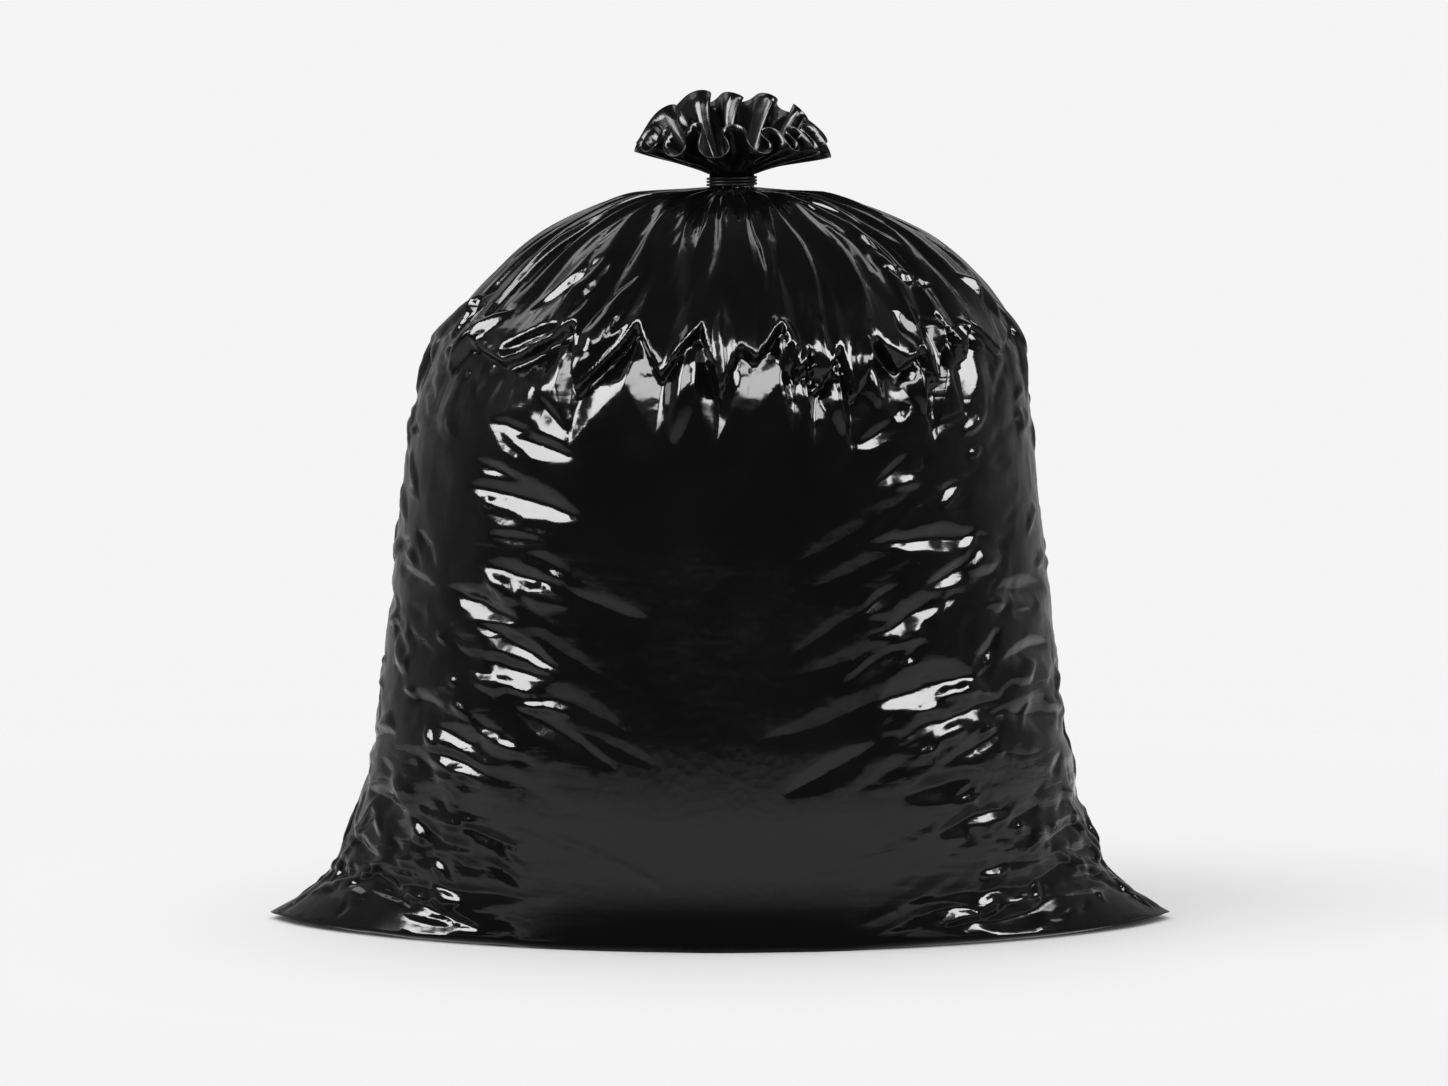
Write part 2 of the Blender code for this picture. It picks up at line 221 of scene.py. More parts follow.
# What the folds share. A slant or a lean is in radians, and a bow is a share of the fold's length
FOLD_SLANT = 0.36
FOLD_BOW = 0.05
FOLD_WOBBLE = 0.0010
FOLD_SHORTEST = 0.0001
TONGUE_STEP = 0.0018
TONGUE_SPREAD = 1.35
CREASE_SPREAD = 1.2
SIDE_CRUMPLE = 0.0006
GIRTH_RADIUS = 0.235

# Folds where the photograph doesn't reach: turns in degrees, heights as shares of BODY_HEIGHT
CREASES_BEHIND = 46
CREASES_BEHIND_TURN = (22.0, 96.0)
CREASES_BEHIND_LOW = 0.08
CREASES_BEHIND_SPAN = 0.66
CREASES_BEHIND_SIZE = (0.5, 1.2)
CREASES_BEHIND_LENGTH = 0.085
CREASES_BEHIND_ABOVE = (0.007, 0.014)
CREASES_BEHIND_BELOW = (0.008, 0.015)
CREASES_BEHIND_DEPTH = (0.0035, 0.0055)
CREASES_BEHIND_LEAN = 0.15
CREASES_BEHIND_BOW = 0.06
TONGUES_BEHIND = 16
TONGUES_BEHIND_START = -12.0
TONGUES_BEHIND_SPAN = 204.0
TONGUES_BEHIND_TIP = (0.67, 0.76)
TONGUES_BEHIND_LENGTH = (0.045, 0.085)
TONGUES_BEHIND_LEAN = 0.03
TONGUES_BEHIND_WIDTH = (0.007, 0.014)
TONGUES_BEHIND_DEPTH = (0.003, 0.005)

# Folds that fan out from the two bottom corners: ends in radians from the corner, and heights in metres
CORNER_FOLDS = 5
CORNER_FOLD_NEAR = 0.03
CORNER_FOLD_NEAR_FAN = 0.10
CORNER_FOLD_FAR = 0.16
CORNER_FOLD_FAR_FAN = 0.50
CORNER_FOLD_LOW = 0.012
CORNER_FOLD_LOW_SPAN = 0.03
CORNER_FOLD_TOP = 0.15
CORNER_FOLD_TOP_DROP = 0.125
CORNER_FOLD_WIDTH = (0.004, 0.007)
CORNER_FOLD_DEPTH = (0.0015, 0.0030)
CORNER_FOLD_PROUD = 0.7

# Crumples on the sides: turns in degrees from the side, widths as shares of the length, depths of the width
SMALL_FOLD_TURN = (0.0, 62.0)
SMALL_FOLD_LOW = 0.03
SMALL_FOLD_SPAN = 0.77
SMALL_FOLD_LOWER = 1.3
SMALL_FOLD_LENGTH = (0.014, 0.055)
SMALL_FOLD_WIDTH = (0.08, 0.20)
SMALL_FOLD_DEPTH = (0.25, 0.50)
SMALL_FOLD_WAYS = (-1.0, -1.0, 0.5)
SMALL_FOLD_LEAN = 0.35
SMALL_FOLD_BOW = 0.12
SMALL_FOLD_STEEP = (0.2, 0.9)
SMALL_FOLD_STEEP_REACH = 0.35

# Long soft folds beside the middle of the front and of the back: turns in degrees away from it
SOFT_FOLDS = 60
SOFT_FOLD_TURN = (19.0, 52.0)
SOFT_FOLD_LEVEL = (0.06, 0.62)
SOFT_FOLD_SLANT = 1.3
SOFT_FOLD_LEAN = 0.12
SOFT_FOLD_LENGTH = (0.07, 0.15)
SOFT_FOLD_WIDTH = (0.006, 0.014)
SOFT_FOLD_DEPTH = 0.15
SOFT_FOLD_BOW = 0.06

# The plates of gathered film that run from the neck to the zig-zag edge
PLEATS = 34
PLEAT_DEPTH = 0.0055
PLEAT_STEEPNESS = 0.075
PLEAT_WANDER = 1.1
PLEAT_TILT = (0.6, 1.3)
PLEAT_LEVEL = 0.5
PLEAT_OVERLAP = 0.86
PLEAT_FADE = 0.05
NECK_PLEAT_WANDER = 0.9

# How the film settles over its contents: steps, hold on its smooth form, and stiffness
COARSE_SETTLING = (140, 0.006, 0.006)
MIDDLE_SETTLING = (90, 0.003, 0.002)
SWELL = 0.0012
START_ROUGHNESS = 0.0010
TIP_HELD = (0.290, 0.330)
TIP_HOLD = 0.3
FOOT_HELD = (0.06, 0.02)
FOOT_HOLD = 6.0

# Spare length of the film, as a share of its own
LEAST_SPARE = 0.001
SHOULDER_SPARE = 0.020
GATHER_SPARE = 0.07
LENGTHWISE_SPARE = 0.008
CROSSWISE_SPARE = 0.017

# Each neighbour that a point pulls on: rows up, columns round, and how stiff the film is that way
NEIGHBOURS = (
    (0, 1, 1.0),
    (1, 0, 1.0),
    (1, 1, 0.4),
    (1, -1, 0.4),
)

# The frill above the band
FRILL_LENGTH_SIDE = 0.058
FRILL_LENGTH_FRONT = 0.053
FRILL_LENGTH_BACK = 0.071
FRILL_SPLAY_SIDE = math.radians(63)
FRILL_SPLAY_FRONT = math.radians(60)
FRILL_SPLAY_BACK = math.radians(38)
FRILL_LOBES = 14
FRILL_LOBE_DEPTH = 0.0115
FRILL_LOBE_UNEVEN = 0.25
FRILL_LOBE_FLARE = 1.5
FRILL_LOBE_CURL = 0.30
FRILL_WANDER = 0.8
FRILL_RIM_UNEVEN = 0.07
FRILL_FULLER = 0.16
FRILL_BACK_SHARE = 1.5
FRILL_CALM_BACK = 0.3
FRILL_STEPS = 260
FRILL_STIFFNESS = 0.05
FRILL_SPARE = 0.02
FRILL_SPARE_FLARE = 1.3
FRILL_ROUGHNESS = 0.0022
FRILL_FOOT_HOLD = 0.02
FRILL_RIM_HOLD = 0.0015
FRILL_WALL = 0.0008
FRILL_PIT_RADIUS = 0.008
FRILL_PIT_FLOOR = 0.003
FRILL_ROWS = 26
NECK_ROWS = 8

# The film's grid
COLUMNS = 768
CORNER_ROWS = 28
ROWS_ABOVE = 361
SEED = 11

# The camera stands where the photograph was taken from, and looks at the middle of the frame
CAMERA_PLACE = (0.003, -4.5, 0.65)
CAMERA_AIM = (0.003, 0.0, 0.2926)

# The studio: each lamp's name, place, width and height, and the setting that holds its power
LIGHTS_AIM = (0.0, 0.0, 0.3)
SOFTBOXES = (
    ("left softbox", (-2.1, -1.3, 2.0), 1.7, 1.3, "softbox"),
    ("rear left light", (-1.3, 1.9, 2.6), 1.4, 1.2, "rear"),
    ("right softbox", (2.1, -1.3, 2.0), 1.7, 1.3, "softbox"),
    ("rear right light", (1.3, 1.9, 2.6), 1.4, 1.2, "rear"),
    ("top softbox", (0.0, -2.4, 2.35), 2.4, 0.9, "top"),
)
KEY_DIRECTION = (0.75, 0.35, -1.0)
KEY_ANGLE = math.radians(35.0)
FLOOR_RADIUS = 6.0
FLOOR_FADE = (0.6, 1.8)
# Painted light on the floor: its colour is paler near the bag, against the bag's shade, and falls to this
# share of it further out
FLOOR_PAST_PAINTED_LIGHT = 0.925
FLOOR_PAINTED_LIGHT_REACH = (0.4, 0.85)
FOOTPRINT_REACH = (0.36, 0.22, 1.0)


def smoothstep(low, high, value):
    """0 below low, 1 above high, and a smooth rise between them."""
    share = np.clip((value - low) / (high - low), 0.0, 1.0)
    return share * share * (3.0 - 2.0 * share)


def smooth_through(stations, count):
    """Evenly spaced points along one smooth curve through the stations."""
    points = np.array(stations)
    steps = np.linalg.norm(np.diff(points, axis=0), axis=1)
    along = np.concatenate([[0.0], np.cumsum(steps)])
    slopes = np.gradient(points, along, axis=0)
    wanted = np.linspace(0.0, along[-1], count)
    left = np.clip(np.searchsorted(along, wanted, side="right") - 1, 0, len(steps) - 1)
    step = (along[left + 1] - along[left])[:, None]
    t = (wanted[:, None] - along[left][:, None]) / step
    rise = t * t * (3.0 - 2.0 * t)
    return (
        points[left] * (1.0 - rise)
        + points[left + 1] * rise
        + slopes[left] * step * t * (1.0 - t) ** 2
        - slopes[left + 1] * step * t * t * (1.0 - t)
    )


def wavy(angle, count, wander):
    """The phase of count folds round the bag, unevenly spaced."""
    drift = np.sin(2.0 * angle + 0.7) + 0.6 * np.sin(3.0 * angle + 2.1) + 0.4 * np.sin(5.0 * angle + 4.0)
    return count * angle + wander * drift


def crease(phase):
    """A fold's height from -1 to 1, with a sharp valley at phase 0 and a rounded crest."""
    return 2.0 * np.abs(np.sin(phase / 2.0)) - 1.0


def around(columns=COLUMNS):
    """The angles of a film's columns round the bag, as one row."""
    return np.linspace(0.0, 2.0 * math.pi, columns, endpoint=False)[None, :]


def body_rows():
    """Height, half width and half depth of each row of the body's film."""
    scale = (BODY_HEIGHT, BODY_WIDTH, BODY_DEPTH)
    stations = [[size * share for size, share in zip(scale, station)] for station in BODY_OUTLINE]
    stations.append([BODY_HEIGHT, NECK_RADIUS, NECK_RADIUS])
    curve = smooth_through(stations, OUTLINE_POINTS)
    along = np.linspace(0.0, 1.0, len(curve))
    low = [0.0, *(CORNER_LIFT + CORNER_RISE * np.linspace(0.0, 1.0, CORNER_ROWS))]
    first = np.interp(low[-1], curve[:, 0], along)
    shares = np.concatenate([np.interp(low, curve[:, 0], along), np.linspace(first, 1.0, ROWS_ABOVE)[1:]])
    return np.stack([np.interp(shares, along, column) for column in curve.T], axis=1)


def body_film():
    """The body's smooth film as rows of points, without its folds."""
    angle = around()
    height, half_width, half_depth = (column[:, None] for column in body_rows().T)
    corner = np.clip(1.0 - (height - CORNER_LIFT) / CORNER_RISE, 0.0, 1.0)
    tip_row = int(np.argmin(np.abs(height - CORNER_LIFT)))
    reach = CORNER_SPAN / 2.0 - half_width[tip_row]
    under = CORNER_UNDERCUT * np.clip(1.0 - height / CORNER_LIFT, 0.0, 1.0)
    half_width = half_width + reach * corner**1.5 - under
    low, high = CORNER_PINCH_FADE
    pointed = 1.0 + CORNER_PINCH * (1.0 - smoothstep(low * BODY_HEIGHT, high * BODY_HEIGHT, height))
    share = height / BODY_HEIGHT
    shift = NECK_SHIFT * smoothstep(*NECK_SHIFT_RISE, share)
    aside = SHOULDER_SHIFT * smoothstep(*SHOULDER_SHIFT_RISE, share)
    shift = shift + aside * smoothstep(*SHOULDER_SHIFT_FADE, share)
    x = shift + half_width * np.cos(angle)
    y = half_depth * np.sign(np.sin(angle)) * np.abs(np.sin(angle)) ** pointed
    return np.stack([x, y, height + 0.0 * angle], axis=-1)


def outward(film):
    """The film's unit normals, which point out of the bag."""
    across = np.roll(film, -1, axis=1) - np.roll(film, 1, axis=1)
    along = np.gradient(film, axis=0)
    normal = np.cross(across, along)
    return unit(normal)


def noise(shape, cells, random):
    """Smooth random numbers from about -1 to 1, with cells rows and columns of values over the film."""
    rows, columns = shape
    grid = random.uniform(-1.0, 1.0, cells)
    r = np.linspace(0.0, cells[0] - 1.0, rows)
    c = np.arange(columns) * cells[1] / columns
    r0 = np.clip(r.astype(int), 0, cells[0] - 2)
    c0 = c.astype(int)
    tr = r - r0
    tc = c - c0
    tr = (tr * tr * (3.0 - 2.0 * tr))[:, None]
    tc = (tc * tc * (3.0 - 2.0 * tc))[None, :]
    c1 = (c0 + 1) % cells[1]
    a = grid[r0][:, c0] * (1.0 - tc) + grid[r0][:, c1] * tc
    b = grid[r0 + 1][:, c0] * (1.0 - tc) + grid[r0 + 1][:, c1] * tc
    return a * (1.0 - tr) + b * tr


def angles(film):
    """The angle of each of this film's columns."""
    return around(film.shape[1])


def unit(vectors):
    """The vectors at length one."""
    return vectors / np.maximum(np.linalg.norm(vectors, axis=-1, keepdims=True), 1e-12)


def fold_frame(film, random):
    """Unit vectors along the side folds and across them: the folds fall towards the bag's front and back."""
    across = unit(np.roll(film, -1, axis=1) - np.roll(film, 1, axis=1))
    up = unit(np.gradient(film, axis=0))
    angle = angles(film)
    falls = np.clip(2.0 * np.sin(2.0 * angle), -1.0, 1.0) * FOLD_SLANT
    falls = falls + 0.45 * noise(film.shape[:2], (18, 24), random)
    lean = falls[:, :, None]
    crosswise = np.cos(lean) * up + np.sin(lean) * across
    lengthwise = np.cos(lean) * across - np.sin(lean) * up
    return across, lengthwise, crosswise


def side_share(film):
    """1 on the bag's sides, where the film is slack, and 0 on its front and back."""
    height = film[:, :, 2] / BODY_HEIGHT
    side = smoothstep(0.10, 0.75, np.abs(np.cos(angles(film))))
    return side * smoothstep(0.02, 0.12, height) * smoothstep(0.86, 0.66, height)


def springs(film, random):
    """Neighbour offsets with their rest lengths and stiffness."""
    height = film[:, :, 2] / BODY_HEIGHT
    across, lengthwise, crosswise = fold_frame(film, random)
    side = side_share(film)
    patch = 0.8 + 0.7 * noise(film.shape[:2], (16, 24), random)
    shoulder = LEAST_SPARE + SHOULDER_SPARE * smoothstep(0.62, 0.80, height)
    spare = (
        (across, shoulder + GATHER_SPARE * smoothstep(0.86, 0.98, height)),
        (lengthwise, LEAST_SPARE + LENGTHWISE_SPARE * side),
        (crosswise, LEAST_SPARE + CROSSWISE_SPARE * side * patch),
    )
    made = []
    for r, c, k in NEIGHBOURS:
        rows = film.shape[0] - r
        edge = np.roll(film, -c, axis=1)[r:] - film[:rows]
        longer = edge.copy()
        for direction, amount in spare:
            along = np.einsum("ijk,ijk->ij", edge, direction[:rows])
            longer += (amount[:rows] * along)[:, :, None] * direction[:rows]
        made.append((r, c, np.linalg.norm(longer, axis=2).astype(np.float32), k))
    return made


def bent(offset):
    """The film's unevenness at each point, against its four neighbours."""
    out = np.roll(offset, 1, axis=1) + np.roll(offset, -1, axis=1) - 2.0 * offset
    out[1:-1] += offset[2:] + offset[:-2] - 2.0 * offset[1:-1]
    return out


def relax(points, smooth, rest, steps, hold, stiff, pressure, pace=0.16, damping=0.93):
    """Lets the film settle over its contents: a sheet that hardly stretches and bends easily."""
    points = points.astype(np.float32)
    goal = smooth.astype(np.float32)
    hold = hold.astype(np.float32)[:, :, None]
    velocity = np.zeros_like(points)
    fixed = hold[:, :, 0] >= 1.0
    rows = points.shape[0]
    for step in range(steps):
        if step % 8 == 0:
            push = outward(points).astype(np.float32) * np.float32(pressure)
        offset = points - goal
        force = push - hold * offset - np.float32(stiff) * bent(bent(offset))
        for r, c, length, k in rest:
            ahead = np.roll(points, -c, axis=1) if c else points
            d = ahead[r:] - points[: rows - r]
            size = np.sqrt(np.einsum("ijk,ijk->ij", d, d))
            pull = d * (k * (1.0 - length[: rows - r] / np.maximum(size, 1e-9)))[:, :, None]
            force[: rows - r] += pull
            force[r:] -= np.roll(pull, c, axis=1) if c else pull
        velocity = damping * (velocity + pace * force)
        velocity[fixed] = 0.0
        points = points + velocity
    return points


def finer(offset):
    """Twice the rows and columns, with the new ones halfway."""
    rows, columns = offset.shape[:2]
    wide = np.empty((rows, 2 * columns, 3), offset.dtype)
    wide[:, 0::2] = offset
    wide[:, 1::2] = (offset + np.roll(offset, -1, axis=1)) / 2.0
    tall = np.empty((2 * rows - 1, 2 * columns, 3), offset.dtype)
    tall[0::2] = wide
    tall[1::2] = (wide[1:] + wide[:-1]) / 2.0
    return tall


def blurred(field):
    """The field with each value mixed with its neighbours'."""
    field = (np.roll(field, 1, axis=1) + 2.0 * field + np.roll(field, -1, axis=1)) / 4.0
    inner = (field[:-2] + 2.0 * field[1:-1] + field[2:]) / 4.0
    return np.concatenate([field[:1], inner, field[-1:]])


class Folds:
    """Creases laid on a film: each is two flat facets that meet in a line and end in two points."""

    def __init__(self, film, random):
        self.film = film
        self.facing = outward(film)
        self.heights = film[:, :, 2].mean(axis=1)
        self.wobble = [FOLD_WOBBLE * noise(film.shape[:2], (70, 130), random) for way in range(2)]
        self.inward = np.zeros(film.shape[:2])
        self.proud = np.zeros(film.shape[:2])

    def front(self, x, z):
        """The film's point at this place on the photographed side."""
        gap = (self.film[:, :, 0] - x) ** 2 + (self.film[:, :, 2] - z) ** 2 + 9.0 * (self.film[:, :, 1] > 0.0)
        return np.unravel_index(np.argmin(gap), gap.shape)

    def place(self, turn, z):
        """The film's point at this angle round the bag and this height."""
        row = int(np.argmin(np.abs(self.heights - z)))
        return row, int(round(turn / (2.0 * math.pi) * self.film.shape[1])) % self.film.shape[1]

    def add(self, first, second, left, right, depth, bow=0.0):
        """One crease between two points, with the widths of its facets."""
        a, b = self.film[first], self.film[second]
        length = np.linalg.norm(b - a)
        if length < FOLD_SHORTEST:
            return
        middle = (a + b) / 2.0
        along = (b - a) / length
        facing = self.facing[first] + self.facing[second]
        facing = facing / np.linalg.norm(facing)
        aside = np.cross(facing, along)
        aside = aside / np.linalg.norm(aside)
        reach = length / 2.0 + max(left, right)
        rows = np.nonzero(np.abs(self.heights - middle[2]) < reach)[0]
        rows = slice(rows[0], rows[-1] + 1)
        offset = self.film[rows] - middle
        share = (offset @ along + self.wobble[0][rows]) / (length / 2.0)
        off = offset @ aside + self.wobble[1][rows]
        wide = np.clip(1.0 - share**2, 0.0, 1.0)
        off = off - bow * length * wide
        span = np.where(off > 0.0, left, right) * np.maximum(wide, 1e-5)
        facet = np.clip(1.0 - np.abs(off) / span, 0.0, 1.0)
        facet = np.where(np.abs(offset @ facing) < reach, facet, 0.0)
        if depth > 0.0:
            raised = (depth * facet + TONGUE_STEP * smoothstep(0.0, 0.22, facet)) * wide
            self.proud[rows] = np.maximum(self.proud[rows], raised)
        else:
            self.inward[rows] = np.minimum(self.inward[rows], depth * facet * wide)

    def relief(self):
        """How far the folds move the film along its normals."""
        return blurred(self.proud + self.inward)


def either_way(random, reach):
    """A random value between minus and plus this reach."""
    return random.uniform(-reach, reach)


def side_turn(random, low, high):
    """An angle between low and high degrees, to either side."""
    turn = math.radians(random.uniform(low, high))
    return turn * random.choice((-1.0, 1.0))


def add_leaning(folds, turn, level, length, lean, left, right, depth, bow):
    """A crease whose middle lies at this angle and height."""
    step = length / 2.0 * math.cos(lean) / GIRTH_RADIUS
    rise = length / 2.0 * math.sin(lean)
    first = folds.place(turn - step, level + rise)
    second = folds.place(turn + step, level - rise)
    folds.add(first, second, left, right, depth, bow)


def slant(turn):
    """How steeply the side folds fall towards the middle of the front or the back."""
    return FOLD_SLANT * min(max(2.0 * math.sin(2.0 * turn), -1.0), 1.0)


def add_front_folds(folds, random):
    """The tongues and creases that were read off the photograph."""
    for x0, z0, x1, z1, left, right, depth in TONGUES:
        top = folds.front(x0 * BODY_WIDTH, z0 * BODY_HEIGHT)
        tip = folds.front(x1 * BODY_WIDTH, z1 * BODY_HEIGHT)
        wide = (TONGUE_SPREAD * right, TONGUE_SPREAD * left)
        folds.add(top, tip, *wide, depth, either_way(random, FOLD_BOW))
    for row in CREASES:
        x0, z0, x1, z1, above, below, depth = (value / 1000.0 for value in row)
        wide = (CREASE_SPREAD * above, CREASE_SPREAD * below)
        folds.add(folds.front(x0, z0), folds.front(x1, z1), *wide, -depth, either_way(random, FOLD_BOW))


def add_folds_behind(folds, random):
    """The same kinds of fold where the photograph doesn't reach."""
    for number in range(CREASES_BEHIND):
        turn = math.pi / 2.0 + side_turn(random, *CREASES_BEHIND_TURN)
        place = number + random.uniform(0.0, 1.0)
        level = BODY_HEIGHT * (CREASES_BEHIND_LOW + CREASES_BEHIND_SPAN * place / CREASES_BEHIND)
        lean = slant(turn) + either_way(random, CREASES_BEHIND_LEAN)
        size = random.uniform(*CREASES_BEHIND_SIZE)
        above = random.uniform(*CREASES_BEHIND_ABOVE) * size
        below = random.uniform(*CREASES_BEHIND_BELOW) * size
        depth = -random.uniform(*CREASES_BEHIND_DEPTH) * size
        bow = either_way(random, CREASES_BEHIND_BOW)
        add_leaning(folds, turn, level, CREASES_BEHIND_LENGTH * size, lean, above, below, depth, bow)
    for number in range(TONGUES_BEHIND):
        place = number + random.uniform(0.2, 0.8)
        turn = math.radians(TONGUES_BEHIND_START + TONGUES_BEHIND_SPAN * place / TONGUES_BEHIND)
        tip = BODY_HEIGHT * random.uniform(*TONGUES_BEHIND_TIP)
        top = tip + random.uniform(*TONGUES_BEHIND_LENGTH)
        first = folds.place(turn, top)
        second = folds.place(turn + either_way(random, TONGUES_BEHIND_LEAN), tip)
        wide = (random.uniform(*TONGUES_BEHIND_WIDTH), random.uniform(*TONGUES_BEHIND_WIDTH))
        folds.add(first, second, *wide, random.uniform(*TONGUES_BEHIND_DEPTH))


def add_corner_folds(folds, random):
    """Folds that fan out from the two bottom corners over the front and the back."""
    for corner, way in ((0.0, -1.0), (0.0, 1.0), (math.pi, 1.0), (math.pi, -1.0)):
        for number in range(CORNER_FOLDS):
            share = (number + random.uniform(0.2, 0.8)) / CORNER_FOLDS
            low = CORNER_FOLD_LOW + CORNER_FOLD_LOW_SPAN * random.uniform(0.0, 1.0)
            near = folds.place(corner + way * (CORNER_FOLD_NEAR + CORNER_FOLD_NEAR_FAN * share), low)
            top = CORNER_FOLD_TOP - CORNER_FOLD_TOP_DROP * share
            far = folds.place(corner + way * (CORNER_FOLD_FAR + CORNER_FOLD_FAR_FAN * share), top)
            wide = (random.uniform(*CORNER_FOLD_WIDTH), random.uniform(*CORNER_FOLD_WIDTH))
            depth = random.uniform(*CORNER_FOLD_DEPTH) * (-1.0 if number % 2 == 0 else CORNER_FOLD_PROUD)
            folds.add(near, far, *wide, depth, either_way(random, FOLD_BOW))


def add_small_folds(folds, random, count):
    """Crumples all over the bag's sides, which stand steeper on its far left and far right."""
    for number in range(count):
        turn = random.choice((0.0, math.pi)) + side_turn(random, *SMALL_FOLD_TURN)
        place = random.uniform(0.0, 1.0) ** SMALL_FOLD_LOWER
        level = BODY_HEIGHT * (SMALL_FOLD_LOW + SMALL_FOLD_SPAN * place)
        upright = max(0.0, 1.0 - abs(math.sin(turn)) / SMALL_FOLD_STEEP_REACH)
        steep = math.pi / 2.0 * upright * random.uniform(*SMALL_FOLD_STEEP)
        lean = slant(turn) + either_way(random, SMALL_FOLD_LEAN) + steep * random.choice((-1.0, 1.0))
        length = random.uniform(*SMALL_FOLD_LENGTH)
        left = random.uniform(*SMALL_FOLD_WIDTH) * length
        right = random.uniform(*SMALL_FOLD_WIDTH) * length
        depth = random.choice(SMALL_FOLD_WAYS) * random.uniform(*SMALL_FOLD_DEPTH) * min(left, right)
        add_leaning(folds, turn, level, length, lean, left, right, depth, either_way(random, SMALL_FOLD_BOW))


def add_soft_folds(folds, random):
    """Long soft folds that run down towards the middle of the bag's front and back."""
    for number in range(SOFT_FOLDS):
        turn = math.pi / 2.0 * random.choice((-1.0, 1.0)) + side_turn(random, *SOFT_FOLD_TURN)
        level = BODY_HEIGHT * random.uniform(*SOFT_FOLD_LEVEL)
        lean = SOFT_FOLD_SLANT * slant(turn) + either_way(random, SOFT_FOLD_LEAN)
        length = random.uniform(*SOFT_FOLD_LENGTH)
        left, right = random.uniform(*SOFT_FOLD_WIDTH), random.uniform(*SOFT_FOLD_WIDTH)
        depth = -SOFT_FOLD_DEPTH * min(left, right)
        add_leaning(folds, turn, level, length, lean, left, right, depth, either_way(random, SOFT_FOLD_BOW))


def plate_edge(angle):
    """The height of the plates' zig-zag lower edge at each angle, as a share of BODY_HEIGHT."""
    teeth = list(PLATE_EDGE)
    first, last = PLATE_EDGE[0][0], PLATE_EDGE[-1][0]
    gap = (360.0 + first - last) / (TEETH_BEHIND + 1)
    for number in range(TEETH_BEHIND):
        turn = last + gap * (number + 1 + TEETH_SHIFT * math.sin(TEETH_SHIFT_TURN * number))
        side = 1.0 if number % 2 == 0 else -1.0
        uneven = TEETH_UNEVEN * math.sin(TEETH_UNEVEN_TURN * number)
        teeth.append((turn, TEETH_MIDDLE + side * TEETH_DEPTH + uneven))
    return np.interp(np.degrees(angle) + 90.0, *np.array(teeth).T, period=360.0)


def pleats(film, random):
    """Overlapping plates of film that spread down the shoulder from the neck."""
    height = film[:, :, 2] / BODY_HEIGHT
    out = np.hypot(film[:, :, 0] - NECK_SHIFT, film[:, :, 1])
    phase = (wavy(angles(film), PLEATS, PLEAT_WANDER) / (2.0 * math.pi)) % PLEATS
    cell = phase.astype(int)
    share = phase - cell
    tilt = random.choice((-1.0, 1.0), PLEATS) * random.uniform(*PLEAT_TILT, PLEATS)
    level = random.uniform(-PLEAT_LEVEL, PLEAT_LEVEL, PLEATS)
    plate = level[cell] + tilt[cell] * (share - 0.5)
    after = (cell + 1) % PLEATS
    following = level[after] + tilt[after] * (share - 1.5)
    rise = smoothstep(PLEAT_OVERLAP, 1.0, share)
    plate = plate * (1.0 - rise) + following * rise
    deep = np.minimum(PLEAT_DEPTH, PLEAT_STEEPNESS * out)
    above = film[:, :, 2] - BODY_HEIGHT * plate_edge(angles(film))
    rear = smoothstep(0.0, 0.5, np.sin(angles(film)))
    above = above + PLATE_EDGE_WOBBLE * rear * noise(film.shape[:2], (40, 150), random)
    lift = PLATE_LIFT * np.clip(1.0 - above / PLATE_RISE, 0.0, 1.0)
    ramp = np.clip(1.0 + above / PLATE_RAMP, 0.0, 1.0)
    edge = smoothstep(-PLATE_EDGE_WIDTH, 0.0, above)
    wrinkled = np.abs(noise(film.shape[:2], (80, 120), random)) * RAMP_CRUMPLE
    crumpled = wrinkled * smoothstep(0.0, 0.4, ramp) * (1.0 - edge)
    crumpled = crumpled + np.abs(noise(film.shape[:2], (50, 90), random)) * SIDE_CRUMPLE * side_share(film)
    slim = SHOULDER_SLIM * smoothstep(*SHOULDER_SLIM_RISE, height) * smoothstep(*SHOULDER_SLIM_FADE, height)
    on_sides = 1.0 - PLATE_FADE * smoothstep(0.76, 0.97, np.abs(np.cos(angles(film))))
    behind = 1.0 - PLATE_FADE_BEHIND * rear
    lift = lift * on_sides * behind
    drawn = PLATE_DRAWN_IN * ramp * on_sides * behind
    plates = deep * plate * smoothstep(0.0, PLEAT_FADE, above) + lift
    return plates * edge - drawn * (1.0 - edge) - crumpled - slim


def settle(film, start, steps, strength, stiff):
    """How far a film that starts here moves from its smooth form, on a grid twice as fine."""
    height = film[:, :, 2] / BODY_HEIGHT
    tip = smoothstep(*TIP_HELD, np.abs(film[:, :, 0]))
    hold = strength * (1.0 + FOOT_HOLD * smoothstep(*FOOT_HELD, height)) + TIP_HOLD * tip
    hold[0] = 1.0
    hold[-1] = 1.0
    rest = springs(film, np.random.default_rng(SEED + 1))
    settled = relax(start, film, rest, steps, hold, stiff, strength * SWELL)
    return finer(settled - film.astype(np.float32)).astype(float)


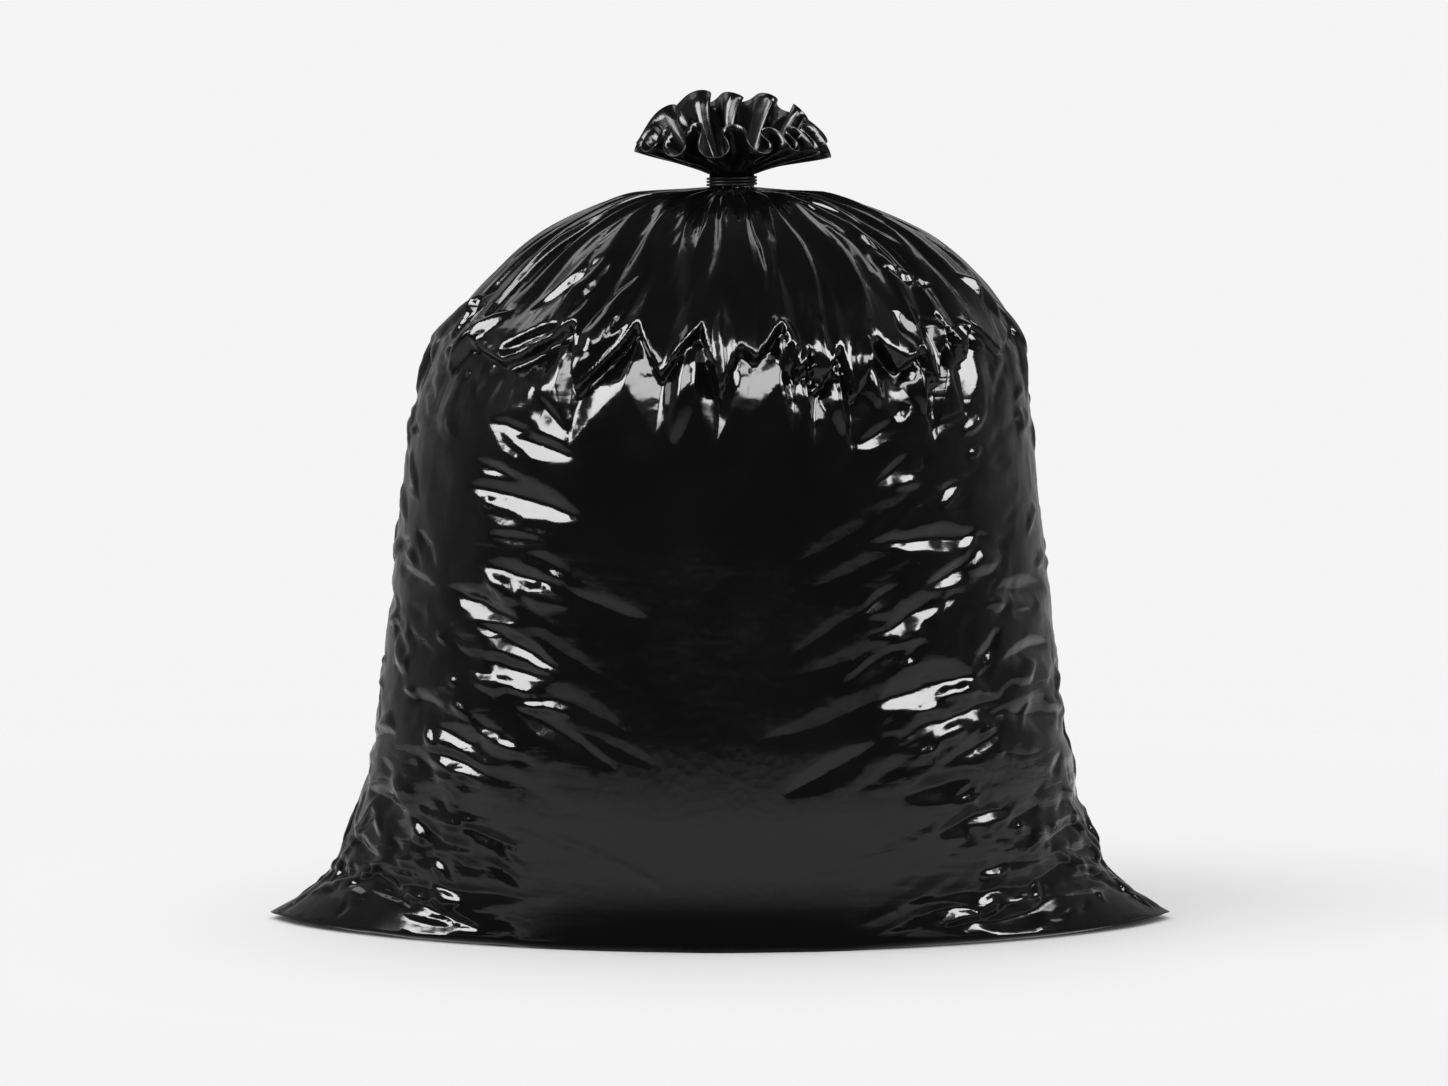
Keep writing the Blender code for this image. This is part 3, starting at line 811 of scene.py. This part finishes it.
def settled_body(random, small_folds):
    """The body's film after it has settled over its contents, with its creases pressed in."""
    fine = body_film()
    if fine.shape[0] % 4 != 1:
        raise RuntimeError("the film needs one row more than a multiple of four")
    middle = fine[::2, ::2]
    coarse = fine[::4, ::4]
    rough = START_ROUGHNESS * noise(coarse.shape[:2], (24, 48), random)
    start = coarse + outward(coarse) * rough[:, :, None]
    offset = settle(coarse, start, *COARSE_SETTLING)
    offset = settle(middle, middle + offset, *MIDDLE_SETTLING)
    for way in range(2):
        offset = blurred(offset)
    points = fine + offset

    folds = Folds(fine, random)
    add_front_folds(folds, random)
    add_folds_behind(folds, random)
    add_corner_folds(folds, random)
    add_small_folds(folds, random, small_folds)
    add_soft_folds(folds, random)
    relief = folds.relief() + pleats(fine, random)
    height = fine[:, :, 2]
    relief = relief * smoothstep(0.0, 0.012, height) * smoothstep(1.0, 0.985, height / BODY_HEIGHT)
    return points + outward(blurred(points)) * relief[:, :, None]


def neck_film():
    """The gathered film inside the band."""
    angle = around()
    height = BODY_HEIGHT + np.linspace(0.0, NECK_LENGTH, NECK_ROWS + 1)[1:, None]
    gathered = (1.0 - crease(wavy(angle, PLEATS, NECK_PLEAT_WANDER))) / 2.0
    radius = NECK_RADIUS - NECK_PLEAT_DEPTH * gathered + 0.0 * height
    x = NECK_SHIFT + radius * np.cos(angle)
    return np.stack([x, radius * np.sin(angle), height + 0.0 * angle], axis=-1)


def frill_film(rise, columns):
    """The middle of the frill's film, as rows of points at the shares rise of its length."""
    angle = around(columns)
    rise = np.asarray(rise)[:, None]
    back = np.maximum(np.sin(angle), 0.0) ** FRILL_BACK_SHARE
    front = np.maximum(-np.sin(angle), 0.0) ** 2
    side = 1.0 - back - front
    splay = side * FRILL_SPLAY_SIDE + front * FRILL_SPLAY_FRONT + back * FRILL_SPLAY_BACK
    length = side * FRILL_LENGTH_SIDE + front * FRILL_LENGTH_FRONT + back * FRILL_LENGTH_BACK
    phase = wavy(angle, FRILL_LOBES, FRILL_WANDER)
    fuller = FRILL_FULLER * np.maximum(np.sin(angle), 0.0) * np.abs(np.sin(2.0 * angle))
    length = length * (1.0 + FRILL_RIM_UNEVEN * np.cos(phase + 0.8) + fuller)
    deep = FRILL_LOBE_DEPTH * (1.0 + FRILL_LOBE_UNEVEN * np.sin(3.0 * angle + 1.0))
    lobe = deep * np.cos(phase) * rise**FRILL_LOBE_FLARE * (1.0 - FRILL_CALM_BACK * back)
    radius = NECK_RADIUS + length * rise * np.sin(splay) + lobe * np.cos(splay)
    height = BODY_HEIGHT + NECK_LENGTH + length * rise * np.cos(splay) - lobe * np.sin(splay)
    turned = angle + FRILL_LOBE_CURL * rise * np.sin(2.0 * phase) / FRILL_LOBES
    return np.stack([NECK_SHIFT + radius * np.cos(turned), radius * np.sin(turned), height], axis=-1)


def settled_frill(random, ruffle):
    """The frill's film: its rim is far longer than the circle it stands on, so it ruffles."""
    rise = np.linspace(0.0, 1.0, FRILL_ROWS + 1)
    columns = COLUMNS // 2
    film = frill_film(rise, columns)
    edge = np.linalg.norm(np.roll(film, -1, axis=1) - film, axis=2)
    spare = (FRILL_SPARE + ruffle * rise**FRILL_SPARE_FLARE)[:, None]
    made = []
    for r, c, k in NEIGHBOURS:
        rows = film.shape[0] - r
        step = np.roll(film, -c, axis=1)[r:] - film[:rows]
        if c == 0:
            long = np.linalg.norm(step, axis=2)
        elif r == 0:
            long = edge * (1.0 + spare)
        else:
            up = np.linalg.norm(film[1:] - film[:-1], axis=2)
            wide = (edge * (1.0 + spare))[:rows]
            long = np.hypot(up, np.roll(wide, -c, axis=1) if c < 0 else wide)
        made.append((r, c, long.astype(np.float32), k))
    rough = noise(film.shape[:2], (4, 22), random) * rise[:, None] * FRILL_ROUGHNESS
    start = film + outward(film) * rough[:, :, None]
    hold = np.repeat((FRILL_FOOT_HOLD * (1.0 - rise) ** 2 + FRILL_RIM_HOLD)[:, None], columns, axis=1)
    hold[0] = 1.0
    settled = relax(start, film, made, FRILL_STEPS, hold, FRILL_STIFFNESS, 0.0)
    return blurred(finer(settled).astype(float))


def bag_rows(random, settings):
    """Every ring of the bag, from the footprint up its outside, over the mouth and down inside the frill."""
    body = settled_body(random, settings.small_folds)
    neck = neck_film()
    frill = settled_frill(random, settings.frill_ruffle)
    wall = outward(frill) * FRILL_WALL / 2.0
    outer = (frill + wall)[1:]
    inner = (frill - wall)[:0:-1]
    axis = np.array([NECK_SHIFT, 0.0])
    around_axis = inner[-1][:, :2] - axis
    pit = np.zeros_like(inner[-1])
    pit[:, :2] = axis + around_axis * FRILL_PIT_RADIUS / np.linalg.norm(around_axis, axis=1).mean()
    pit[:, 2] = BODY_HEIGHT + NECK_LENGTH + FRILL_PIT_FLOOR
    return np.concatenate([body, neck, outer, inner, pit[None]])


def add_node(tree, kind, settings=None, sockets=None):
    """A shader node with its settings, its plain values and its links."""
    node = tree.nodes.new(kind)
    for name, value in (settings or {}).items():
        setattr(node, name, value)
    for name, value in (sockets or {}).items():
        if isinstance(value, bpy.types.NodeSocket):
            tree.links.new(value, node.inputs[name])
        else:
            node.inputs[name].default_value = value
    return node


def combine(tree, operation, first, second):
    """One arithmetic step between two numbers or sockets."""
    return add_node(tree, "ShaderNodeMath", {"operation": operation}, {0: first, 1: second}).outputs["Value"]


def spread(tree, value, low, high, to_low, to_high):
    """A value from low to high turned into one from to_low to to_high."""
    sockets = {"Value": value, "From Min": low, "From Max": high, "To Min": to_low, "To Max": to_high}
    return add_node(tree, "ShaderNodeMapRange", None, sockets).outputs["Result"]


def new_material(name):
    """A material, its node tree, its shader and the place on the object."""
    made = bpy.data.materials.new(name)
    made.use_nodes = True
    tree = made.node_tree
    return made, tree, tree.nodes["Principled BSDF"], add_node(tree, "ShaderNodeTexCoord").outputs["Object"]


def add_tint(tree, share, colour, low, high):
    """The colour times low to high, by a share from 0 to 1."""
    tint = add_node(tree, "ShaderNodeMix", {"data_type": "RGBA"})
    tree.links.new(share, tint.inputs["Factor"])
    tint.inputs["A"].default_value = (*(low * part for part in colour), 1.0)
    tint.inputs["B"].default_value = (*(high * part for part in colour), 1.0)
    return tint.outputs["Result"]


def film_material(settings):
    """Glossy black polythene film: fine crinkles all over, and creases across its slack sides."""
    made, tree, shader, place = new_material("black bag film")
    shader.inputs["Specular IOR Level"].default_value = 0.34

    cloudy = add_node(tree, "ShaderNodeTexNoise", None, {"Vector": place, "Scale": 7.0, "Detail": 4.0})
    tint = add_tint(tree, cloudy.outputs["Fac"], settings.colour, 0.7, 1.3)
    tree.links.new(tint, shader.inputs["Base Color"])

    scuffed = add_node(tree, "ShaderNodeTexNoise", None, {"Vector": place, "Scale": 24.0, "Detail": 6.0})
    smooth, worn = settings.roughness * 0.75, settings.roughness * 1.5
    rough = spread(tree, scuffed.outputs["Fac"], 0.35, 0.70, smooth, worn)
    axes = add_node(tree, "ShaderNodeSeparateXYZ", None, {"Vector": place})
    duller = spread(tree, axes.outputs["Z"], BODY_HEIGHT, BODY_HEIGHT + 0.03, 0.0, settings.frill_dullness)
    tree.links.new(combine(tree, "ADD", rough, duller), shader.inputs["Roughness"])

    drift = add_node(tree, "ShaderNodeTexNoise", None, {"Vector": place, "Scale": 30.0, "Detail": 3.0})
    swirled = add_node(
        tree,
        "ShaderNodeVectorMath",
        {"operation": "MULTIPLY_ADD"},
        {0: drift.outputs["Color"], 1: (0.016, 0.016, 0.016), 2: place},
    ).outputs["Vector"]
    heights = []
    for scale, height in ((52.0, 0.45), (120.0, 0.35)):
        cells = add_node(tree, "ShaderNodeTexVoronoi", {"feature": "F1"}, {"Vector": swirled, "Scale": scale})
        heights.append(combine(tree, "MULTIPLY", cells.outputs["Distance"], height))
    stretched = add_node(tree, "ShaderNodeMapping", None, {"Vector": place, "Scale": (12.0, 12.0, 52.0)})
    off_middle = combine(tree, "ABSOLUTE", axes.outputs["X"], 0.0)
    slack = spread(tree, off_middle, 0.06, 0.19, 0.15, 1.0)
    for scale, height in ((1.0, 5.0), (2.4, 1.2)):
        sockets = {"Vector": stretched.outputs["Vector"], "Scale": scale, "Detail": 1.0}
        field = add_node(tree, "ShaderNodeTexNoise", None, sockets)
        centred = combine(tree, "SUBTRACT", field.outputs["Fac"], 0.5)
        folded = combine(tree, "ABSOLUTE", centred, 0.0)
        heights.append(combine(tree, "MULTIPLY", combine(tree, "MULTIPLY", folded, height), slack))
    total = heights[0]
    for height in heights[1:]:
        total = combine(tree, "ADD", total, height)
    sockets = {"Strength": 0.5, "Distance": settings.crinkle, "Height": total}
    bump = add_node(tree, "ShaderNodeBump", None, sockets)
    tree.links.new(bump.outputs["Normal"], shader.inputs["Normal"])
    return made


def elastic_material(settings):
    """Satin black elastic with fine threads wound along it."""
    made, tree, shader, place = new_material("wound black elastic")
    worn = add_node(tree, "ShaderNodeTexNoise", None, {"Vector": place, "Scale": 160.0, "Detail": 5.0})
    tint = add_tint(tree, worn.outputs["Fac"], settings.colour, 0.6, 1.5)
    tree.links.new(tint, shader.inputs["Base Color"])
    rough = spread(tree, worn.outputs["Fac"], 0.3, 0.7, settings.roughness * 0.8, settings.roughness * 1.25)
    tree.links.new(rough, shader.inputs["Roughness"])
    shader.inputs["Specular IOR Level"].default_value = 0.3
    threads = add_node(
        tree,
        "ShaderNodeTexWave",
        {"wave_type": "BANDS", "bands_direction": "Z"},
        {"Vector": place, "Scale": 420.0, "Distortion": 1.5, "Detail": 2.0},
    )
    sockets = {"Strength": 0.4, "Distance": settings.thread, "Height": threads.outputs["Fac"]}
    bump = add_node(tree, "ShaderNodeBump", None, sockets)
    tree.links.new(bump.outputs["Normal"], shader.inputs["Normal"])
    return made


def only(piece):
    """Deselects everything else."""
    bpy.ops.object.select_all(action="DESELECT")
    piece.select_set(True)
    bpy.context.view_layer.objects.active = piece


def apply_modifier(piece, name, kind, values):
    """Adds a modifier with these values to the piece and applies it."""
    only(piece)
    modifier = piece.modifiers.new(name, kind)
    for key, value in values.items():
        setattr(modifier, key, value)
    bpy.ops.object.modifier_apply(modifier=name)


def make_film(settings):
    """The bag's film as one closed mesh, thinned where it is smooth."""
    rows = bag_rows(np.random.default_rng(SEED), settings)
    count = len(rows)
    faces = []
    for row in range(count - 1):
        start = row * COLUMNS
        for i in range(COLUMNS):
            after = (i + 1) % COLUMNS
            faces.append((start + i, start + after, start + COLUMNS + after, start + COLUMNS + i))
    last = (count - 1) * COLUMNS
    faces.append(tuple(range(COLUMNS - 1, -1, -1)))
    faces.append(tuple(range(last, last + COLUMNS)))
    mesh = bpy.data.meshes.new("bag_film")
    rows[:, :, 2] = np.maximum(rows[:, :, 2], 0.0)
    mesh.from_pydata(rows.reshape(-1, 3).tolist(), [], faces)
    bag = bpy.data.objects.new("bag_film", mesh)
    bpy.context.scene.collection.objects.link(bag)
    triangles = 2 * COLUMNS * (count - 1) + 2 * (COLUMNS - 2)
    apply_modifier(bag, "thinned", "DECIMATE", {"ratio": settings.triangles / triangles})
    bag.data.shade_smooth()
    bag.data.materials.append(film_material(settings))
    return bag


def make_band(settings):
    """The wound elastic, rounded from a copy of the part's own turns."""
    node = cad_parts["neck_band"]
    band = node.copy()
    band.data = node.data.copy()
    band.name = "wound_elastic"
    band.parent = None
    for key in list(band.keys()):
        del band[key]
    bpy.context.scene.collection.objects.link(band)
    only(band)
    bpy.ops.object.mode_set(mode="EDIT")
    bpy.ops.mesh.select_all(action="SELECT")
    bpy.ops.mesh.remove_doubles(threshold=0.000001)
    bpy.ops.mesh.tris_convert_to_quads()
    bpy.ops.object.mode_set(mode="OBJECT")
    apply_modifier(band, "rounded", "SUBSURF", {"levels": 2, "render_levels": 2})
    band.data.shade_smooth()
    band.data.materials.clear()
    band.data.materials.append(elastic_material(settings))
    return band


def add_softbox(name, place, width, height, power):
    """A light that shows only as a reflection, so that the floor stays evenly lit."""
    data = bpy.data.lights.new(name, "AREA")
    data.shape = "RECTANGLE"
    data.size = width
    data.size_y = height
    data.energy = power
    lamp = bpy.data.objects.new(name, data)
    lamp.location = place
    lamp.rotation_euler = (Vector(LIGHTS_AIM) - Vector(place)).to_track_quat("-Z", "Y").to_euler()
    lamp.visible_camera = False
    lamp.visible_diffuse = False
    bpy.context.scene.collection.objects.link(lamp)


def floor_material(colour):
    """Matt pale paper, painted paler near the bag to lift the bag's shade on it, that fades into the
    background and isn't mirrored close to the bag's foot.
    """
    made, tree, shader, place = new_material("pale floor")
    shader.inputs["Roughness"].default_value = 1.0
    shader.inputs["Specular IOR Level"].default_value = 0.0
    far = add_node(tree, "ShaderNodeVectorMath", {"operation": "LENGTH"}, {0: place}).outputs["Value"]
    fade = spread(tree, far, *FLOOR_FADE, 1.0, 0.0)
    # Painted light: the floor's colour is paler near the bag, where the bag shades it, and dims further out
    past_painted_light = spread(tree, far, *FLOOR_PAINTED_LIGHT_REACH, 0.0, 1.0)
    tree.links.new(add_tint(tree, past_painted_light, colour, 1.0, FLOOR_PAST_PAINTED_LIGHT), shader.inputs["Base Color"])
    sockets = {0: place, 1: FOOTPRINT_REACH}
    footprint = add_node(tree, "ShaderNodeVectorMath", {"operation": "DIVIDE"}, sockets)
    out = add_node(tree, "ShaderNodeVectorMath", {"operation": "LENGTH"}, {0: footprint.outputs["Vector"]})
    close = spread(tree, out.outputs["Value"], 1.0, 1.55, 1.0, 0.0)
    mirrored = add_node(tree, "ShaderNodeLightPath").outputs["Is Glossy Ray"]
    seen = combine(tree, "SUBTRACT", 1.0, combine(tree, "MULTIPLY", mirrored, close))
    tree.links.new(combine(tree, "MULTIPLY", fade, seen), shader.inputs["Alpha"])
    return made


def make_world(settings):
    """An even dome for the floor, a plain backdrop and, in the film's reflections, a dim room."""
    world = bpy.data.worlds.new("studio")
    bpy.context.scene.world = world
    world.use_nodes = True
    tree = world.node_tree
    seen = tree.nodes["Background"]
    seen.inputs["Color"].default_value = (*settings.backdrop, 1.0)
    dome = add_node(tree, "ShaderNodeBackground", None, {"Color": (*settings.dome, 1.0)})
    direction = add_node(tree, "ShaderNodeTexCoord").outputs["Generated"]
    axes = add_node(tree, "ShaderNodeSeparateXYZ", None, {"Vector": direction})
    rear = spread(tree, axes.outputs["Y"], -0.6, 0.9, 0.04, 0.40)
    overhead = spread(tree, axes.outputs["Z"], 0.45, 0.85, 1.0, 0.35)
    dim = combine(tree, "MULTIPLY", rear, overhead)
    room = add_node(tree, "ShaderNodeBackground", None, {"Color": dim})
    ray = add_node(tree, "ShaderNodeLightPath")
    unseen = add_node(tree, "ShaderNodeMixShader", None, {0: ray.outputs["Is Glossy Ray"]})
    tree.links.new(dome.outputs["Background"], unseen.inputs[1])
    tree.links.new(room.outputs["Background"], unseen.inputs[2])
    mix = add_node(tree, "ShaderNodeMixShader", None, {0: ray.outputs["Is Camera Ray"]})
    tree.links.new(unseen.outputs["Shader"], mix.inputs[1])
    tree.links.new(seen.outputs["Background"], mix.inputs[2])
    tree.links.new(mix.outputs["Shader"], tree.nodes["World Output"].inputs["Surface"])
    bpy.context.scene.view_settings.view_transform = "Standard"


def make_lights(settings):
    """A soft key light that casts the shadow, and softboxes for the film's reflections."""
    data = bpy.data.lights.new("soft key", "SUN")
    data.energy = settings.key
    data.angle = KEY_ANGLE
    key = bpy.data.objects.new("soft key", data)
    key.rotation_euler = Vector(KEY_DIRECTION).to_track_quat("-Z", "Y").to_euler()
    key.visible_glossy = False
    bpy.context.scene.collection.objects.link(key)
    for name, place, width, height, power in SOFTBOXES:
        add_softbox(name, place, width, height, getattr(settings, power))


def make_camera(settings):
    """The camera, where the photograph was taken from."""
    data = bpy.data.cameras.new("camera")
    data.lens = settings.lens
    data.sensor_width = 36.0
    camera = bpy.data.objects.new("camera", data)
    camera.location = CAMERA_PLACE
    camera.rotation_euler = (Vector(CAMERA_AIM) - Vector(CAMERA_PLACE)).to_track_quat("-Z", "Y").to_euler()
    bpy.context.scene.collection.objects.link(camera)
    bpy.context.scene.camera = camera


def colour_setting(name, description, default):
    """A colour that the sidebar shows."""
    limits = {"subtype": "COLOR", "size": 3, "min": 0.0, "max": 1.0}
    return bpy.props.FloatVectorProperty(name=name, description=description, default=default, **limits)


class FilmSettings(bpy.types.PropertyGroup):
    colour: colour_setting("Film colour", "Colour of the polythene film", (0.0035, 0.0035, 0.0038))
    roughness: bpy.props.FloatProperty(
        name="Film roughness",
        description="Roughness of the film, before its uneven patches",
        subtype="FACTOR",
        min=0.0,
        max=1.0,
        default=0.12,
    )
    frill_dullness: bpy.props.FloatProperty(
        name="Frill dullness",
        description="How much rougher the handled film of the frill is",
        subtype="FACTOR",
        min=0.0,
        max=1.0,
        default=0.10,
    )
    crinkle: bpy.props.FloatProperty(
        name="Crinkle height",
        description="Height of the film's fine crinkles",
        unit="LENGTH",
        precision=5,
        min=0.0,
        default=0.0005,
    )
    small_folds: bpy.props.IntProperty(
        name="Small folds",
        description="Number of crumples pressed into the bag's sides",
        min=0,
        default=680,
    )
    frill_ruffle: bpy.props.FloatProperty(
        name="Frill ruffle",
        description="Spare length of the frill's rim, as a share of the rim",
        subtype="FACTOR",
        min=0.0,
        max=0.5,
        default=0.28,
    )
    triangles: bpy.props.IntProperty(
        name="Triangles",
        description="Triangles left in the film's mesh",
        min=20000,
        max=199000,
        default=195000,
    )


class BandSettings(bpy.types.PropertyGroup):
    colour: colour_setting("Elastic colour", "Colour of the wound elastic", (0.006, 0.006, 0.006))
    roughness: bpy.props.FloatProperty(
        name="Elastic roughness",
        description="Roughness of the elastic, before its worn patches",
        subtype="FACTOR",
        min=0.0,
        max=1.0,
        default=0.36,
    )
    thread: bpy.props.FloatProperty(
        name="Thread height",
        description="Height of the fine threads along the elastic",
        unit="LENGTH",
        precision=5,
        min=0.0,
        default=0.0001,
    )


class StudioSettings(bpy.types.PropertyGroup):
    floor: colour_setting("Floor colour", "Colour of the studio floor", (0.97, 0.97, 0.97))
    backdrop: colour_setting("Backdrop colour", "Colour behind the bag", (0.912, 0.912, 0.912))
    dome: colour_setting("Dome light", "Even light from all round", (0.87, 0.87, 0.87))
    key: bpy.props.FloatProperty(
        name="Key light",
        description="Strength of the soft key light that casts the shadow",
        min=0.0,
        default=0.62,
    )
    softbox: bpy.props.FloatProperty(
        name="Softboxes",
        description="Power of each of the two front softboxes, in watts",
        unit="POWER",
        min=0.0,
        default=165.0,
    )
    rear: bpy.props.FloatProperty(
        name="Rear lights",
        description="Power of each of the two rear lights, in watts",
        unit="POWER",
        min=0.0,
        default=9.0,
    )
    top: bpy.props.FloatProperty(
        name="Top softbox",
        description="Power of the softbox over the front, in watts",
        unit="POWER",
        min=0.0,
        default=120.0,
    )
    lens: bpy.props.FloatProperty(
        name="Lens",
        description="Focal length of the camera",
        unit="CAMERA",
        min=20.0,
        default=145.0,
    )


class BINBAG_OT_film(bpy.types.Operator):
    """Builds the bag's film: the filled body, the gathered neck and the frill."""

    bl_idname = "binbag.film"
    bl_label = "Build the bag film"
    bl_options = {"REGISTER", "UNDO"}

    def execute(self, context):
        bag = make_film(context.scene.bag_film_settings)
        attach(bag, "root")
        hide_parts("bin_bag")
        return {"FINISHED"}


class BINBAG_OT_band(bpy.types.Operator):
    """Builds the elastic that is wound round the neck."""

    bl_idname = "binbag.band"
    bl_label = "Build the neck band"
    bl_options = {"REGISTER", "UNDO"}

    def execute(self, context):
        band = make_band(context.scene.neck_band_settings)
        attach(band, "root")
        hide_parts("neck_band")
        return {"FINISHED"}


class BINBAG_OT_studio(bpy.types.Operator):
    """Sets up the pale floor, the soft lights and the camera."""

    bl_idname = "binbag.studio"
    bl_label = "Set up the studio"
    bl_options = {"REGISTER", "UNDO"}

    def execute(self, context):
        settings = context.scene.studio_settings
        bpy.ops.object.select_all(action="DESELECT")
        bpy.ops.mesh.primitive_circle_add(vertices=96, radius=FLOOR_RADIUS, fill_type="NGON")
        floor = context.view_layer.objects.active
        floor.name = "floor"
        floor.data.materials.append(floor_material(settings.floor))
        make_world(settings)
        make_lights(settings)
        make_camera(settings)
        return {"FINISHED"}


class BINBAG_PT_sidebar(bpy.types.Panel):
    """Lists the bag's pieces and the studio with their settings."""

    bl_idname = "BINBAG_PT_sidebar"
    bl_label = "Bin Bag"
    bl_space_type = "VIEW_3D"
    bl_region_type = "UI"
    bl_category = "Bin Bag"

    def draw(self, context):
        scene = context.scene
        for operator, settings in (
            (BINBAG_OT_film, scene.bag_film_settings),
            (BINBAG_OT_band, scene.neck_band_settings),
            (BINBAG_OT_studio, scene.studio_settings),
        ):
            box = self.layout.box()
            for name in settings.__annotations__:
                box.prop(settings, name)
            box.operator(operator.bl_idname)


CLASSES = (
    FilmSettings,
    BandSettings,
    StudioSettings,
    BINBAG_OT_film,
    BINBAG_OT_band,
    BINBAG_OT_studio,
    BINBAG_PT_sidebar,
)


def register():
    for made in CLASSES:
        bpy.utils.register_class(made)
    bpy.types.Scene.bag_film_settings = bpy.props.PointerProperty(type=FilmSettings)
    bpy.types.Scene.neck_band_settings = bpy.props.PointerProperty(type=BandSettings)
    bpy.types.Scene.studio_settings = bpy.props.PointerProperty(type=StudioSettings)


def unregister():
    del bpy.types.Scene.studio_settings
    del bpy.types.Scene.neck_band_settings
    del bpy.types.Scene.bag_film_settings
    for made in reversed(CLASSES):
        bpy.utils.unregister_class(made)


def main():
    register()
    bpy.ops.binbag.film()
    bpy.ops.binbag.band()
    bpy.ops.binbag.studio()


if __name__ == "__main__":
    main()
